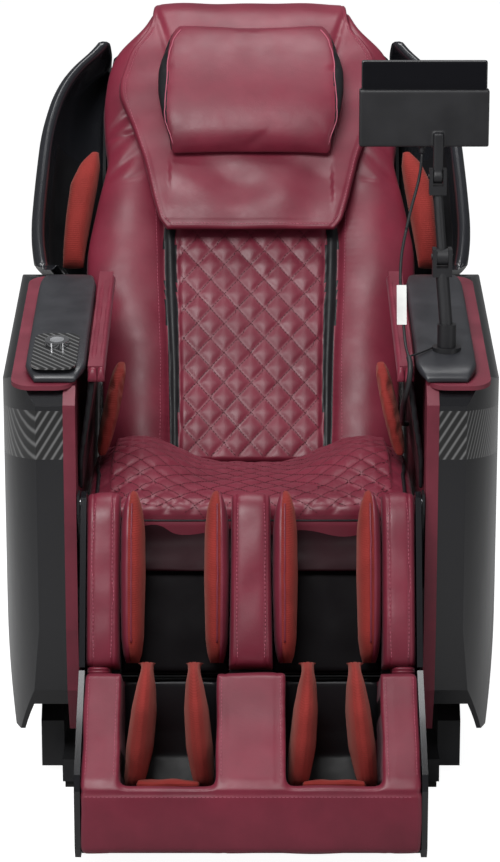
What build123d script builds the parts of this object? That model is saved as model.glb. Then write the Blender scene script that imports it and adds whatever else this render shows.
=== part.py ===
from build123d import *
import math
import os

# Reclining massage chair with a powered back, seat and leg rest, and a tablet on a swivel arm.
# Millimetres. +Z is up, the chair faces -Y, and +X is the sitter's left.
# The origin is on the floor under the middle of the whole chair.

os.makedirs("parts", exist_ok=True)

# ---------------------------------------------------------------- driving dimensions
LEAN = 32.0                       # back rest, degrees from upright
BACK_PIVOT = (155.0, 390.0)       # y, z of the recline hinge
CALF_LEAN = 25.0                  # leg rest, degrees forward of hanging straight down
LEG_PIVOT = (-400.0, 520.0)       # y, z of the leg rest hinge
TILT_PIVOT = (80.0, 230.0)        # y, z of the seat tilt hinge
RECLINE_RANGE = 45.0
LEG_RANGE = 80.0
TILT_RANGE = 20.0
RUNNING_GAP = 0.05                # radial clearance of a running fit

ARM_FRONT = -405.0                # front face of the side shells
ARM_TOP_FRONT = 708.0             # height of the shell's top at its front face
ARM_SLOPE = 8.33                  # the arm rises to the rear by this many degrees
TRIM_INNER = 287.0                # inner face of the trim panels
TRIM_OUTER = 307.0                # outer face of the trim panels, where the shells start
SHELL_WALL = 7.0
BAND_DEPTH = 3.0
SHELL_REAR_RADIUS = 385.0         # the shell's rear edge, round the recline hinge
TRIM_REAR_RADIUS = 340.0
WING_CLEAR_RADIUS = 391.0         # nothing wide on the back comes nearer to the hinge

CUSHION_FRONT = 85.0              # heights above the back's hinge plane
CUSHION_REAR = 25.0
COVER_REAR = -142.0
COVER_HALF = 280.0

CALF_HALF = 279.0
CALF_BOTTOM = -274.0
FOOT_TRAVEL = 120.0

PIN_R = 6.0
CRANK_RECLINE = 150.0
CRANK_TILT = 100.0
CABLE_R = 2.5
SLEEVE_R = 5.5

# ---------------------------------------------------------------- working planes
lean_sin = math.sin(math.radians(LEAN))
lean_cos = math.cos(math.radians(LEAN))
calf_sin = math.sin(math.radians(CALF_LEAN))
calf_cos = math.cos(math.radians(CALF_LEAN))
slope_sin = math.sin(math.radians(ARM_SLOPE))
slope_cos = math.cos(math.radians(ARM_SLOPE))

# BACK: local x across, y up the back, z out of its front. BACK_SIDE: local x forward, y up the back.
BACK = Plane((0, *BACK_PIVOT), x_dir=(1, 0, 0), z_dir=(0, -lean_cos, lean_sin))
BACK_SIDE = Plane((0, *BACK_PIVOT), x_dir=(0, -lean_cos, lean_sin), z_dir=(-1, 0, 0))
# CALF: local x across, y up the calf, z out of its front. CALF_SIDE: local x forward, y up.
CALF = Plane((0, *LEG_PIVOT), x_dir=(1, 0, 0), z_dir=(0, -calf_cos, calf_sin))
CALF_SIDE = Plane((0, *LEG_PIVOT), x_dir=(0, -calf_cos, calf_sin), z_dir=(-1, 0, 0))
# ARM_TOP: local x across, y to the rear along the arm, z out of its top.
ARM_TOP = Plane((0, ARM_FRONT, ARM_TOP_FRONT), x_dir=(1, 0, 0), z_dir=(0, -slope_sin, slope_cos))


# ---------------------------------------------------------------- helpers
def block(low, high, mode=Mode.ADD):
    """Add a box between two corners to the part being built."""
    size = [b - a for a, b in zip(low, high)]
    middle = tuple((a + b) / 2 for a, b in zip(low, high))
    with Locations(middle):
        Box(*size, mode=mode)


def local_block(plane, low, high, mode=Mode.ADD):
    """Add a box between two corners given in a plane's own coordinates."""
    size = [b - a for a, b in zip(low, high)]
    middle = tuple((a + b) / 2 for a, b in zip(low, high))
    with Locations(plane.location * Location(middle)):
        Box(*size, mode=mode)


def bar(start, end, radius, mode=Mode.ADD):
    """Add a round bar between two points to the part being built."""
    along = Vector(*end) - Vector(*start)
    with Locations(Plane(start, z_dir=along)):
        Cylinder(radius, along.length, align=(Align.CENTER, Align.CENTER, Align.MIN), mode=mode)


def cross_pin(x_low, x_high, y, z, radius, mode=Mode.ADD):
    """Add a pin that runs across the chair."""
    bar((x_low, y, z), (x_high, y, z), radius, mode)


def polygon(points):
    """Add a closed outline to the sketch being built."""
    Polygon(*points, align=None)


def around_hinge(radius, degrees):
    """A point at an angle rearward of straight up, seen from the recline hinge, as y, z."""
    angle = math.radians(degrees)
    return (BACK_PIVOT[0] + radius * math.sin(angle), BACK_PIVOT[1] + radius * math.cos(angle))


def arm_profile(inset, rear_radius, closed_bottom):
    """Side outline of an arm, y and z, drawn inside the full one by the inset."""
    front = ARM_FRONT + inset
    top = ARM_TOP_FRONT - inset
    rise = math.tan(math.radians(ARM_SLOPE))
    radius = rear_radius - inset
    drop = 0 if closed_bottom else 60
    arc_start = around_hinge(radius, 5)
    arc_middle = around_hinge(radius, 50)
    arc_end = around_hinge(radius, 100)
    low_rear = (500 - inset - (SHELL_REAR_RADIUS - rear_radius), 215 - drop)
    with BuildLine() as outline:
        Polyline(
            arc_end,
            low_rear,
            (230, 105 - drop),
            (-345 + inset, 105 - drop),
            (-392 + inset, 190),
            (front, 300),
            (front, top - 24),
            (front + 24, top + 24 * rise),
            (125, top + (125 - ARM_FRONT) * rise),
            arc_start,
        )
        ThreePointArc(arc_start, arc_middle, arc_end)
    make_face(outline.line)


def arm_core(inset, closed_bottom):
    """A solid arm on the sitter's left, bulged outwards, drawn inside the full one by the inset."""
    out = -inset
    inner = TRIM_OUTER if closed_bottom else TRIM_OUTER - 20
    with BuildPart() as core:
        with BuildSketch(Plane.XZ.offset(-ARM_FRONT)):
            with BuildLine():
                Spline(
                    (393 + out, ARM_TOP_FRONT),
                    (414 + out, 672),
                    (427 + out, 590),
                    (431 + out, 450),
                    (421 + out, 260),
                    (394 + out, 60),
                    (360 + out, -120),
                )
                Polyline((360 + out, -120), (inner, -120), (inner, ARM_TOP_FRONT), (393 + out, ARM_TOP_FRONT))
            make_face()
        extrude(amount=1000, dir=(0, slope_cos, slope_sin))
        with BuildSketch(Plane.YZ):
            arm_profile(inset, SHELL_REAR_RADIUS, closed_bottom)
        extrude(amount=500, mode=Mode.INTERSECT)
        with BuildSketch(Plane.XY):
            with BuildLine():
                Spline(
                    (352 + out, ARM_FRONT + inset),
                    (396 + out, -330),
                    (420 + out, -200),
                    (431 + out, -20),
                    (431 + out, 120),
                    (412 + out, 360),
                    (370 + out, 560),
                )
                Polyline(
                    (370 + out, 560),
                    (inner, 560),
                    (inner, ARM_FRONT + inset),
                    (352 + out, ARM_FRONT + inset),
                )
            make_face()
        extrude(amount=900, mode=Mode.INTERSECT)
    return core.part


# ================================================================ base, which stands on the floor
RAIL_X = (280.0, 320.0)
RAIL_Z = (12.0, 52.0)
TUBES_Y = (-270.0, 60.0, 430.0)   # front faces of the base's cross tubes

# Transport wheels, just clear of the floor, used when the chair is tipped back.
WHEEL_Y = 508.0
WHEEL_Z = 34.0
WHEEL_R = 30.0

with BuildPart() as base_side_rails:
    block((RAIL_X[0], -355, RAIL_Z[0]), (RAIL_X[1], 470, RAIL_Z[1]))
    # wheel brackets and axle
    block((280, 470.5, 14), (284, 524, 52))
    block((316, 470.5, 14), (320, 524, 52))
    cross_pin(280, 320, WHEEL_Y, WHEEL_Z, 5)
    block((250, 50, RAIL_Z[1] + 0.2), (262, 110, 262))
    cross_pin(250, 262, *TILT_PIVOT, 10 + RUNNING_GAP, mode=Mode.SUBTRACT)
    mirror(about=Plane.YZ)
base_side_rails.part.label = "base_side_rails"
export_step(base_side_rails.part, "parts/base_side_rails.step")

with BuildPart() as base_cross_tubes:
    for tube_y in TUBES_Y:
        block((-RAIL_X[0], tube_y, RAIL_Z[0]), (RAIL_X[0], tube_y + 40, RAIL_Z[1]))
base_cross_tubes.part.label = "base_cross_tubes"
export_step(base_cross_tubes.part, "parts/base_cross_tubes.step")

with BuildPart() as base_feet:
    for foot_y in (-325, 440):
        block((RAIL_X[0] + 4, foot_y - 25, 0), (RAIL_X[1] - 4, foot_y + 25, RAIL_Z[0]))
    mirror(about=Plane.YZ)
base_feet.part.label = "base_feet"
export_step(base_feet.part, "parts/base_feet.step")

with BuildPart() as base_covers:
    with BuildSketch(Plane.YZ.offset(RAIL_X[1] + 0.5)):
        polygon([(-285, 14), (440, 14), (440, 96), (416, 120), (-262, 120), (-285, 96)])
    extrude(amount=39)
    mirror(about=Plane.YZ)
base_covers.part.label = "base_covers"
export_step(base_covers.part, "parts/base_covers.step")

with BuildPart() as wheel_left:
    cross_pin(286, 314, WHEEL_Y, WHEEL_Z, WHEEL_R)
    cross_pin(286, 314, WHEEL_Y, WHEEL_Z, 5 + RUNNING_GAP, mode=Mode.SUBTRACT)
wheel_left.part.label = "wheel_left"
export_step(wheel_left.part, "parts/wheel_left.step")

with BuildPart() as wheel_right:
    mirror(wheel_left.part, about=Plane.YZ)
wheel_right.part.label = "wheel_right"
export_step(wheel_right.part, "parts/wheel_right.step")

# Power box on the rear cross tube, with a rocker switch and a mains inlet in its rear face.
BOX_REAR = 468.0
with BuildPart() as power_box:
    block((-105, 390, RAIL_Z[1] + 0.2), (105, BOX_REAR, 126))
    block((29, BOX_REAR - 10, 77), (53, BOX_REAR, 101), mode=Mode.SUBTRACT)
    block((-54, BOX_REAR - 18, 78), (-28, BOX_REAR, 100), mode=Mode.SUBTRACT)
power_box.part.label = "power_box"
export_step(power_box.part, "parts/power_box.step")

with BuildPart() as power_switch:
    with BuildSketch(Plane.YZ.offset(31)):
        polygon([(BOX_REAR - 7, 79.5), (BOX_REAR + 1, 79.5), (BOX_REAR + 2, 89),
                 (BOX_REAR + 5, 98.5), (BOX_REAR - 7, 98.5)])
    extrude(amount=20)
power_switch.part.label = "power_switch"
export_step(power_switch.part, "parts/power_switch.step")

# ================================================================ actuators
ROD_R = 9.0
TUBE_R = 19.0


def actuator_rod(plane, slot_half, slot_width, end):
    """Yoke with a slot across the travel, and the rod behind it. The travel is the plane's z."""
    with BuildPart() as rod:
        local_block(plane, (-4, -slot_half - 9, -slot_width - 7), (4, slot_half + 9, slot_width + 7))
        local_block(plane, (-5, -slot_half, -slot_width), (5, slot_half, slot_width), mode=Mode.SUBTRACT)
        start = math.copysign(slot_width + 6, end)
        bar(plane.from_local_coords((0, 0, start)), plane.from_local_coords((0, 0, end)), ROD_R)
    return rod.part


def actuator_body(plane, mouth, tail):
    """Tube that the rod slides in, with its gearbox and motor."""
    away = math.copysign(1, tail - mouth)
    with BuildPart() as body:
        bar(plane.from_local_coords((0, 0, mouth)), plane.from_local_coords((0, 0, tail)), TUBE_R)
        low, high = sorted((tail, tail + away * 44))
        local_block(plane, (-24, -24, low), (24, 24, high))
        local_block(plane, (-95, -19, low + 3), (-23, 19, high - 3))
        bar(plane.from_local_coords((0, 0, mouth - away)), plane.from_local_coords((0, 0, tail - away * 8)),
            ROD_R + RUNNING_GAP, mode=Mode.SUBTRACT)
    return body.part


# Recline: the pin under the hinge swings evenly either side of straight down.
recline_half = math.radians(RECLINE_RANGE / 2)
RECLINE_X = 70.0
recline_pin = (
    BACK_PIVOT[0] + CRANK_RECLINE * math.sin(recline_half),
    BACK_PIVOT[1] - CRANK_RECLINE * math.cos(recline_half),
)
recline_line_z = BACK_PIVOT[1] - CRANK_RECLINE * (1 + math.cos(recline_half)) / 2
RECLINE_LINE = Plane((RECLINE_X, recline_pin[0], recline_line_z), x_dir=(1, 0, 0), z_dir=(0, -1, 0))
with BuildPart() as recline_rod:
    add(actuator_rod(RECLINE_LINE, 14, PIN_R + 1.2, 235))
recline_rod.part.label = "recline_rod"
export_step(recline_rod.part, "parts/recline_rod.step")

with BuildPart() as recline_actuator:
    add(actuator_body(RECLINE_LINE, 140, 370))
    block((RECLINE_X - 12, -118, recline_line_z + 12), (RECLINE_X + 12, -92, 271.8))
recline_actuator.part.label = "recline_actuator"
export_step(recline_actuator.part, "parts/recline_actuator.step")

# Leg rest: the pin is on the calf frame; the travel follows the chord of its swing.
LEG_X = -70.0
CALF_PIN_UP = -145.0              # the pin in the calf's own plane: up, and forward
CALF_PIN_FORWARD = -127.0
leg_crank = math.hypot(CALF_PIN_UP, CALF_PIN_FORWARD)
leg_half = math.radians(LEG_RANGE / 2)
pin_from_pivot = CALF.from_local_coords((0, CALF_PIN_UP, CALF_PIN_FORWARD)) - Vector(0, *LEG_PIVOT)
leg_mean = pin_from_pivot.rotate(Axis.X, -LEG_RANGE / 2).normalized()
leg_travel = leg_mean.rotate(Axis.X, -90)
leg_line_radius = leg_crank * (1 + math.cos(leg_half)) / 2
leg_start = Vector(LEG_X, *LEG_PIVOT) + leg_mean * leg_line_radius - leg_travel * leg_crank * math.sin(leg_half)
LEG_LINE = Plane(leg_start, x_dir=(1, 0, 0), z_dir=leg_travel)
with BuildPart() as legrest_rod:
    add(actuator_rod(LEG_LINE, 30, PIN_R + 4.6, -290))
legrest_rod.part.label = "legrest_rod"
export_step(legrest_rod.part, "parts/legrest_rod.step")

with BuildPart() as legrest_actuator:
    add(actuator_body(LEG_LINE, -45, -300))
    block((LEG_X - 12, -118, 224), (LEG_X + 12, -92, 271.8))
legrest_actuator.part.label = "legrest_actuator"
export_step(legrest_actuator.part, "parts/legrest_actuator.step")

# Seat tilt: the pin under the tilt hinge, pulled forward by an actuator on the base.
tilt_half = math.radians(TILT_RANGE / 2)
tilt_pin = (
    TILT_PIVOT[0] + CRANK_TILT * math.sin(tilt_half),
    TILT_PIVOT[1] - CRANK_TILT * math.cos(tilt_half),
)
TILT_LINE = Plane((0, tilt_pin[0], tilt_pin[1] - 0.8), x_dir=(1, 0, 0), z_dir=(0, -1, 0))
with BuildPart() as tilt_rod:
    add(actuator_rod(TILT_LINE, 10, PIN_R + 1, 150))
tilt_rod.part.label = "tilt_rod"
export_step(tilt_rod.part, "parts/tilt_rod.step")

with BuildPart() as tilt_actuator:
    add(actuator_body(TILT_LINE, 58, 285))
    block((-20, -262, RAIL_Z[1] + 0.2), (20, -200, tilt_pin[1] - 15))
tilt_actuator.part.label = "tilt_actuator"
export_step(tilt_actuator.part, "parts/tilt_actuator.step")

# ================================================================ seat body
SEAT_RAIL_X = (212.0, 246.0)
SEAT_RAIL_Z = (326.0, 376.0)

with BuildPart() as seat_side_rails:
    block((SEAT_RAIL_X[0], -330, SEAT_RAIL_Z[0]), (SEAT_RAIL_X[1], 190, SEAT_RAIL_Z[1]))
    # tilt ear, recline bracket and the plate that carries the leg rest's hinge
    with BuildSketch(Plane.YZ.offset(234)):
        polygon([(50, 325.8), (110, 325.8), (102, 206), (58, 206)])
    extrude(amount=12)
    cross_pin(234, 246, *TILT_PIVOT, 10, mode=Mode.SUBTRACT)
    with BuildSketch(Plane.YZ.offset(234)):
        polygon([(122, 376.2), (188, 376.2), (176, 412), (134, 412)])
    extrude(amount=12)
    cross_pin(234, 246, *BACK_PIVOT, 8, mode=Mode.SUBTRACT)
    with BuildSketch(Plane.YZ.offset(281)):
        polygon([(-330, 345), (-285, 345), (-285, 380), (-372, 522), (-384, 536), (-416, 536), (-418, 504)])
    extrude(amount=4)
    cross_pin(281, 285, *LEG_PIVOT, PIN_R, mode=Mode.SUBTRACT)
    mirror(about=Plane.YZ)
seat_side_rails.part.label = "seat_side_rails"
export_step(seat_side_rails.part, "parts/seat_side_rails.step")

with BuildPart() as seat_cross_tubes:
    block((-281, -329.8, 352), (281, -290, SEAT_RAIL_Z[0] + 50))
    for side in (-1, 1):
        low, high = sorted((side * (SEAT_RAIL_X[0] - 0.2), side * 290))
        block((low, -331, 325), (high, -289, 380), mode=Mode.SUBTRACT)
    for side in (-1, 1):
        low, high = sorted((side * (SEAT_RAIL_X[1] + 0.2), side * 281))
        block((low, -329.8, 352), (high, -290, 376))
    block((-211.8, 60, SEAT_RAIL_Z[0]), (211.8, 94, 360))
    block((-211.8, -120, 272), (211.8, -90, 300))
    for side in (-1, 1):
        low, high = sorted((side * 212, side * 222))
        block((low, -120, 272), (high, -90, 325.8))
    # crank plates and pin that the tilt actuator pulls
    for side in (-1, 1):
        low, high = sorted((side * 16, side * 22))
        block((low, tilt_pin[0] - 16, tilt_pin[1] - 16), (high, tilt_pin[0] + 16, 325.8))
    cross_pin(-22, 22, *tilt_pin, PIN_R, mode=Mode.SUBTRACT)
    cross_pin(-22, 22, *tilt_pin, PIN_R)
    # seat pan
    block((-246, -329, 376.4), (246, 70, 386))
seat_cross_tubes.part.label = "seat_cross_tubes"
export_step(seat_cross_tubes.part, "parts/seat_cross_tubes.step")

with BuildPart() as pivot_pins:
    cross_pin(230, 264, *TILT_PIVOT, 10)
    cross_pin(230, 261, *BACK_PIVOT, 8)
    cross_pin(270, 285.5, *LEG_PIVOT, PIN_R)
    mirror(about=Plane.YZ)
pivot_pins.part.label = "pivot_pins"
export_step(pivot_pins.part, "parts/pivot_pins.step")

with BuildPart() as seat_cushion:
    with BuildSketch(Plane.YZ):
        polygon([(-350, 392), (-350, 492), (-336, 508), (-200, 492), (86, 450), (76, 387), (-330, 387)])
    extrude(amount=276, both=True)
    with BuildSketch(Plane.YZ.offset(178)):
        polygon([(-336, 506), (-250, 514), (-120, 524), (10, 528), (66, 514), (86, 462), (86, 448), (0, 430), (-300, 480)])
    extrude(amount=98)
    with BuildSketch(Plane.YZ.offset(-276)):
        polygon([(-336, 506), (-250, 514), (-120, 524), (10, 528), (66, 514), (86, 462), (86, 448), (0, 430), (-300, 480)])
    extrude(amount=98)
seat_cushion.part.label = "seat_cushion"
export_step(seat_cushion.part, "parts/seat_cushion.step")

# The band is a skin let into the shell, and slopes down to the rear.
BAND_FRONT = (595.0, 677.0)
BAND_DROP = 10.4
with BuildPart() as band_blank:
    add(arm_core(0, True))
    with BuildSketch(Plane.YZ):
        fall = 1000 * math.tan(math.radians(BAND_DROP))
        polygon([
            (ARM_FRONT - 5, BAND_FRONT[0]), (ARM_FRONT + 995, BAND_FRONT[0] - fall),
            (ARM_FRONT + 995, BAND_FRONT[1] - fall), (ARM_FRONT - 5, BAND_FRONT[1]),
        ])
    extrude(amount=500, mode=Mode.INTERSECT)
    add(arm_core(BAND_DEPTH, True), mode=Mode.SUBTRACT)

with BuildPart() as side_shell_left:
    add(arm_core(0, True))
    add(arm_core(SHELL_WALL, False), mode=Mode.SUBTRACT)
    add(band_blank.part, mode=Mode.SUBTRACT)
side_shell_left.part.label = "side_shell_left"
export_step(side_shell_left.part, "parts/side_shell_left.step")

with BuildPart() as side_shell_right:
    mirror(side_shell_left.part, about=Plane.YZ)
side_shell_right.part.label = "side_shell_right"
export_step(side_shell_right.part, "parts/side_shell_right.step")

with BuildPart() as side_bands:
    add(band_blank.part)
    mirror(about=Plane.YZ)
side_bands.part.label = "side_bands"
export_step(side_bands.part, "parts/side_bands.step")

# Trim: the inner side panel of each arm, and the plate under its pad.
TRIM_TOP = 8.0
PAD_TOP = 30.0
SOCKET = (324.0, -294.0)
ARM_TOP_LENGTH = 512.0
with BuildPart() as arm_trims:
    with BuildSketch(Plane.YZ.offset(TRIM_INNER)):
        arm_profile(-2, TRIM_REAR_RADIUS, True)
    extrude(amount=TRIM_OUTER - TRIM_INNER)
    with BuildSketch(ARM_TOP.offset(0.3)):
        with Locations((340, 6 + ARM_TOP_LENGTH / 2)):
            RectangleRounded(106, ARM_TOP_LENGTH, 34)
        with Locations((300, 20 + ARM_TOP_LENGTH / 2)):
            Rectangle(26, ARM_TOP_LENGTH - 28)
    extrude(amount=TRIM_TOP - 0.3)
    # padded rim along the inner edge of the arm
    with BuildSketch(ARM_TOP.offset(-4)):
        with Locations((256, 282)):
            Rectangle(24, 446)
    extrude(amount=26)
    # hole for the tablet arm's socket
    bar((*SOCKET, 690), (*SOCKET, 800), 24.3, mode=Mode.SUBTRACT)
    mirror(about=Plane.YZ)
arm_trims.part.label = "arm_trims"
export_step(arm_trims.part, "parts/arm_trims.step")

# Arm pads, with the tablet arm's socket through the sitter's left one.
with BuildPart() as arm_pad_left:
    with BuildSketch(ARM_TOP.offset(TRIM_TOP + 0.2)):
        with Locations((321, 18 + 242)):
            RectangleRounded(102, 484, 32)
    extrude(amount=PAD_TOP - TRIM_TOP - 0.2)
    bar((*SOCKET, 700), (*SOCKET, 800), 24.3, mode=Mode.SUBTRACT)
arm_pad_left.part.label = "arm_pad_left"
export_step(arm_pad_left.part, "parts/arm_pad_left.step")

with BuildPart() as arm_pad_right:
    with BuildSketch(ARM_TOP.offset(TRIM_TOP + 0.2)):
        with Locations((-321, 18 + 242)):
            RectangleRounded(102, 484, 32)
    extrude(amount=PAD_TOP - TRIM_TOP - 0.2)
arm_pad_right.part.label = "arm_pad_right"
export_step(arm_pad_right.part, "parts/arm_pad_right.step")

# Inner walls of the arms, leaning in towards the sitter under the rims.
with BuildPart() as arm_walls:
    with BuildSketch(Plane.XZ.offset(-96)):
        polygon([
            (279, 526), (277, 580), (259, 690), (250, 800), (261, 800), (270, 690), (286, 580), (286, 526),
        ])
    extrude(amount=462)
    with BuildSketch(Plane.YZ.offset(230)):
        polygon([(-344, 526), (-350, 600), (-350, 800), (96, 800), (10, 526)])
    extrude(amount=60, mode=Mode.INTERSECT)
    split(bisect_by=ARM_TOP.offset(-4.3), keep=Keep.BOTTOM)
    mirror(about=Plane.YZ)
arm_walls.part.label = "arm_walls"
export_step(arm_walls.part, "parts/arm_walls.step")

# Leaf-shaped air bags at the hips.
with BuildPart() as hip_airbags:
    with BuildSketch(Plane.XZ.offset(-60)):
        polygon([(250, 530), (232, 600), (218, 672), (232, 676), (250, 600), (266, 530)])
    extrude(amount=260)
    with BuildSketch(Plane.YZ):
        with BuildLine():
            Spline((-165, 528), (-150, 610), (-70, 676), (10, 640), (32, 528))
            Line((32, 528), (-165, 528))
        make_face()
    extrude(amount=300, mode=Mode.INTERSECT)
    mirror(about=Plane.YZ)
hip_airbags.part.label = "hip_airbags"
export_step(hip_airbags.part, "parts/hip_airbags.step")

# Control panel, dial and push button on the sitter's right arm.
DIAL_X = -322.0
DIAL_UP = 128.0
PANEL_TOP = PAD_TOP + 3.0
with BuildPart() as control_panel:
    with BuildSketch(ARM_TOP.offset(PAD_TOP + 0.1)):
        with Locations((-323, 22 + 78)):
            RectangleRounded(74, 156, 20)
        with Locations((DIAL_X, DIAL_UP)):
            Circle(20.6, mode=Mode.SUBTRACT)
    extrude(amount=PANEL_TOP - PAD_TOP - 0.1)
control_panel.part.label = "control_panel"
export_step(control_panel.part, "parts/control_panel.step")

with BuildPart() as dial_ring:
    with BuildSketch(ARM_TOP.offset(PAD_TOP + 0.4)):
        with Locations((DIAL_X, DIAL_UP)):
            Circle(20)
            Circle(12.4, mode=Mode.SUBTRACT)
    extrude(amount=11)
dial_ring.part.label = "dial_ring"
export_step(dial_ring.part, "parts/dial_ring.step")

with BuildPart() as dial_button:
    with BuildSketch(ARM_TOP.offset(PAD_TOP + 2.6)):
        with Locations((DIAL_X, DIAL_UP)):
            Circle(12)
    extrude(amount=9)
dial_button.part.label = "dial_button"
export_step(dial_button.part, "parts/dial_button.step")

# ================================================================ back body
BACK_RAIL_X = (238.0, 260.0)
RAIL_REAR = -60.0
RAIL_FRONT = -10.0
# the roller massage mechanism inside the back
GUIDE_X = 120.0
GUIDE_FORWARD = -45.0
CARRIAGE_UP = 330.0
SHAFT_FORWARD = -40.0
ROLLER_FORWARD = -14.0
ROLLER_SPREAD = 60.0

with BuildPart() as back_side_rails:
    local_block(BACK, (BACK_RAIL_X[0], 71, RAIL_REAR), (BACK_RAIL_X[1], 806, RAIL_FRONT))
    with BuildSketch(BACK_SIDE.offset(-260)):
        with BuildLine():
            Polyline((0, -22), (-22, 0), (-60, 40), (-60, 72), (-10, 72), (22, 0))
            RadiusArc((22, 0), (0, -22), 22)
        make_face()
    extrude(amount=10)
    cross_pin(249, 261, *BACK_PIVOT, 8 + RUNNING_GAP, mode=Mode.SUBTRACT)
    mirror(about=Plane.YZ)
back_side_rails.part.label = "back_side_rails"
export_step(back_side_rails.part, "parts/back_side_rails.step")

pin_in_back = BACK.to_local_coords(Vector(0, *recline_pin))
with BuildPart() as back_cross_tubes:
    local_block(BACK, (-249.8, 40, RAIL_REAR), (249.8, 70, -20))
    local_block(BACK, (-237.8, 780, RAIL_REAR), (237.8, 806, -20))
    # round guide rails that the roller carriage rides on
    for side in (-1, 1):
        bar(BACK.from_local_coords((side * GUIDE_X, 70.2, GUIDE_FORWARD)),
            BACK.from_local_coords((side * GUIDE_X, 779.8, GUIDE_FORWARD)), 6)
    # crank plates and pin that the recline actuator pulls
    for x_low in (RECLINE_X - 16, RECLINE_X + 10):
        with BuildSketch(BACK_SIDE.offset(-x_low - 6)):
            polygon([
                (-60.2, 70), (-60.2, 40), (pin_in_back.Z + 12, pin_in_back.Y - 10),
                (pin_in_back.Z - 10, pin_in_back.Y - 12), (pin_in_back.Z - 14, pin_in_back.Y + 8),
                (-96, 50),
            ])
        extrude(amount=6)
    cross_pin(RECLINE_X - 16, RECLINE_X + 16, *recline_pin, PIN_R, mode=Mode.SUBTRACT)
    cross_pin(RECLINE_X - 16, RECLINE_X + 16, *recline_pin, PIN_R)
back_cross_tubes.part.label = "back_cross_tubes"
export_step(back_cross_tubes.part, "parts/back_cross_tubes.step")

with BuildPart() as back_cushion:
    with BuildSketch(BACK.offset(-5)):
        with BuildLine():
            side = [
                (262, 25), (268, 100), (275, 330), (303, 372), (303, 440), (283, 539),
                (267, 620), (276, 730), (262, 820), (240, 850), (200, 874),
            ]
            Polyline(*side, *[(-x, up) for x, up in reversed(side)], close=True)
        make_face()
    extrude(amount=CUSHION_FRONT + 5)
    local_block(BACK, (-242, 0, -6), (242, 900, CUSHION_REAR), mode=Mode.SUBTRACT)
    local_block(BACK, (-300, 0, -6), (300, 76, CUSHION_REAR), mode=Mode.SUBTRACT)
    # roll over the top edge, which the head flap hangs from
    with BuildSketch(BACK_SIDE):
        polygon([(-15, 906), (30, 906), (60, 900), (74, 892), (80, 906), (62, 922), (30, 934), (-15, 932)])
    extrude(amount=180, both=True)
back_cushion.part.label = "back_cushion"
export_step(back_cushion.part, "parts/back_cushion.step")


def cover_block(inset, low_u):
    """The back cover's outer form, drawn inside the full one by the inset."""
    rear = COVER_REAR + inset
    with BuildPart() as form:
        with BuildSketch(BACK.offset(rear)):
            half = [
                (COVER_HALF - inset, low_u),
                (COVER_HALF - inset, 740),
                (262 - inset, 850 - inset),
                (216 - inset, 892 - inset),
                (120, 904 - inset),
            ]
            polygon([*half, *[(-x, up) for x, up in reversed(half)]])
        extrude(amount=inset - rear - 8)
        with BuildSketch(BACK_SIDE):
            polygon([
                (inset - 7, low_u), (rear + 24, low_u), (rear, low_u + 36), (rear, 838 - inset),
                (rear + 9, 878 - inset), (rear + 42, 905 - inset), (inset - 7, 905 - inset),
            ])
        extrude(amount=300, both=True, mode=Mode.INTERSECT)
    return form.part


COVER_WALL = 6.0
with BuildPart() as back_cover:
    add(cover_block(0, 24))
    add(cover_block(COVER_WALL, -20), mode=Mode.SUBTRACT)
    # clear of the recline hinge
    with BuildSketch(BACK_SIDE):
        polygon([(0, 0), (0, 76), (-64, 44), (COVER_REAR + 20, 22), (COVER_REAR + 20, 0)])
    extrude(amount=300, both=True, mode=Mode.SUBTRACT)
back_cover.part.label = "back_cover"
export_step(back_cover.part, "parts/back_cover.step")


# Wings: bowl-shaped side panels that stand forward beside the head and shoulders.
WING_STATIONS = (
    # height up the back, outermost half width, half width at the root
    (300, 376, 281),
    (345, 386, 281),
    (439, 400, 281),
    (540, 392, 281),
    (647, 381, 281),
    (734, 356, 282),
    (788, 322, 275),
    (839, 286, 266),
)


def wing_front(up):
    """How far forward the wing's rim stands at a height up the back."""
    return 175 - 0.177 * (up - 380)


with BuildPart() as wing_left:
    for up, outer, root in WING_STATIONS:
        front = wing_front(up)
        reach = outer - root
        with BuildSketch(Plane(BACK.from_local_coords((0, up, 0)), x_dir=(1, 0, 0), z_dir=BACK.y_dir)):
            # local y runs to the rear
            polygon([
                (root, 110), (root + 0.5 * reach, 76), (outer - 8, -10), (outer + 3, -0.55 * front),
                (outer, -front), (outer - 28, -front - 4), (outer - 24, -0.55 * front), (max(outer - 34, root), -22),
                (root + 0.4 * reach - 6, 40), (root, 66),
            ])
    loft(ruled=True)
    cross_pin(200, 450, *BACK_PIVOT, WING_CLEAR_RADIUS, mode=Mode.SUBTRACT)
wing_left.part.label = "wing_left"
export_step(wing_left.part, "parts/wing_left.step")

with BuildPart() as wing_right:
    mirror(wing_left.part, about=Plane.YZ)
wing_right.part.label = "wing_right"
export_step(wing_right.part, "parts/wing_right.step")

with BuildPart() as shoulder_airbags:
    with BuildSketch(BACK.offset(26)):
        polygon([
            (308, 340), (346, 340), (346, 440), (340, 545), (326, 600), (294, 632),
            (274, 622), (289, 540), (308, 448),
        ])
    extrude(amount=84)
    cross_pin(200, 450, *BACK_PIVOT, WING_CLEAR_RADIUS + 2, mode=Mode.SUBTRACT)
    mirror(about=Plane.YZ)
shoulder_airbags.part.label = "shoulder_airbags"
export_step(shoulder_airbags.part, "parts/shoulder_airbags.step")

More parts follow.
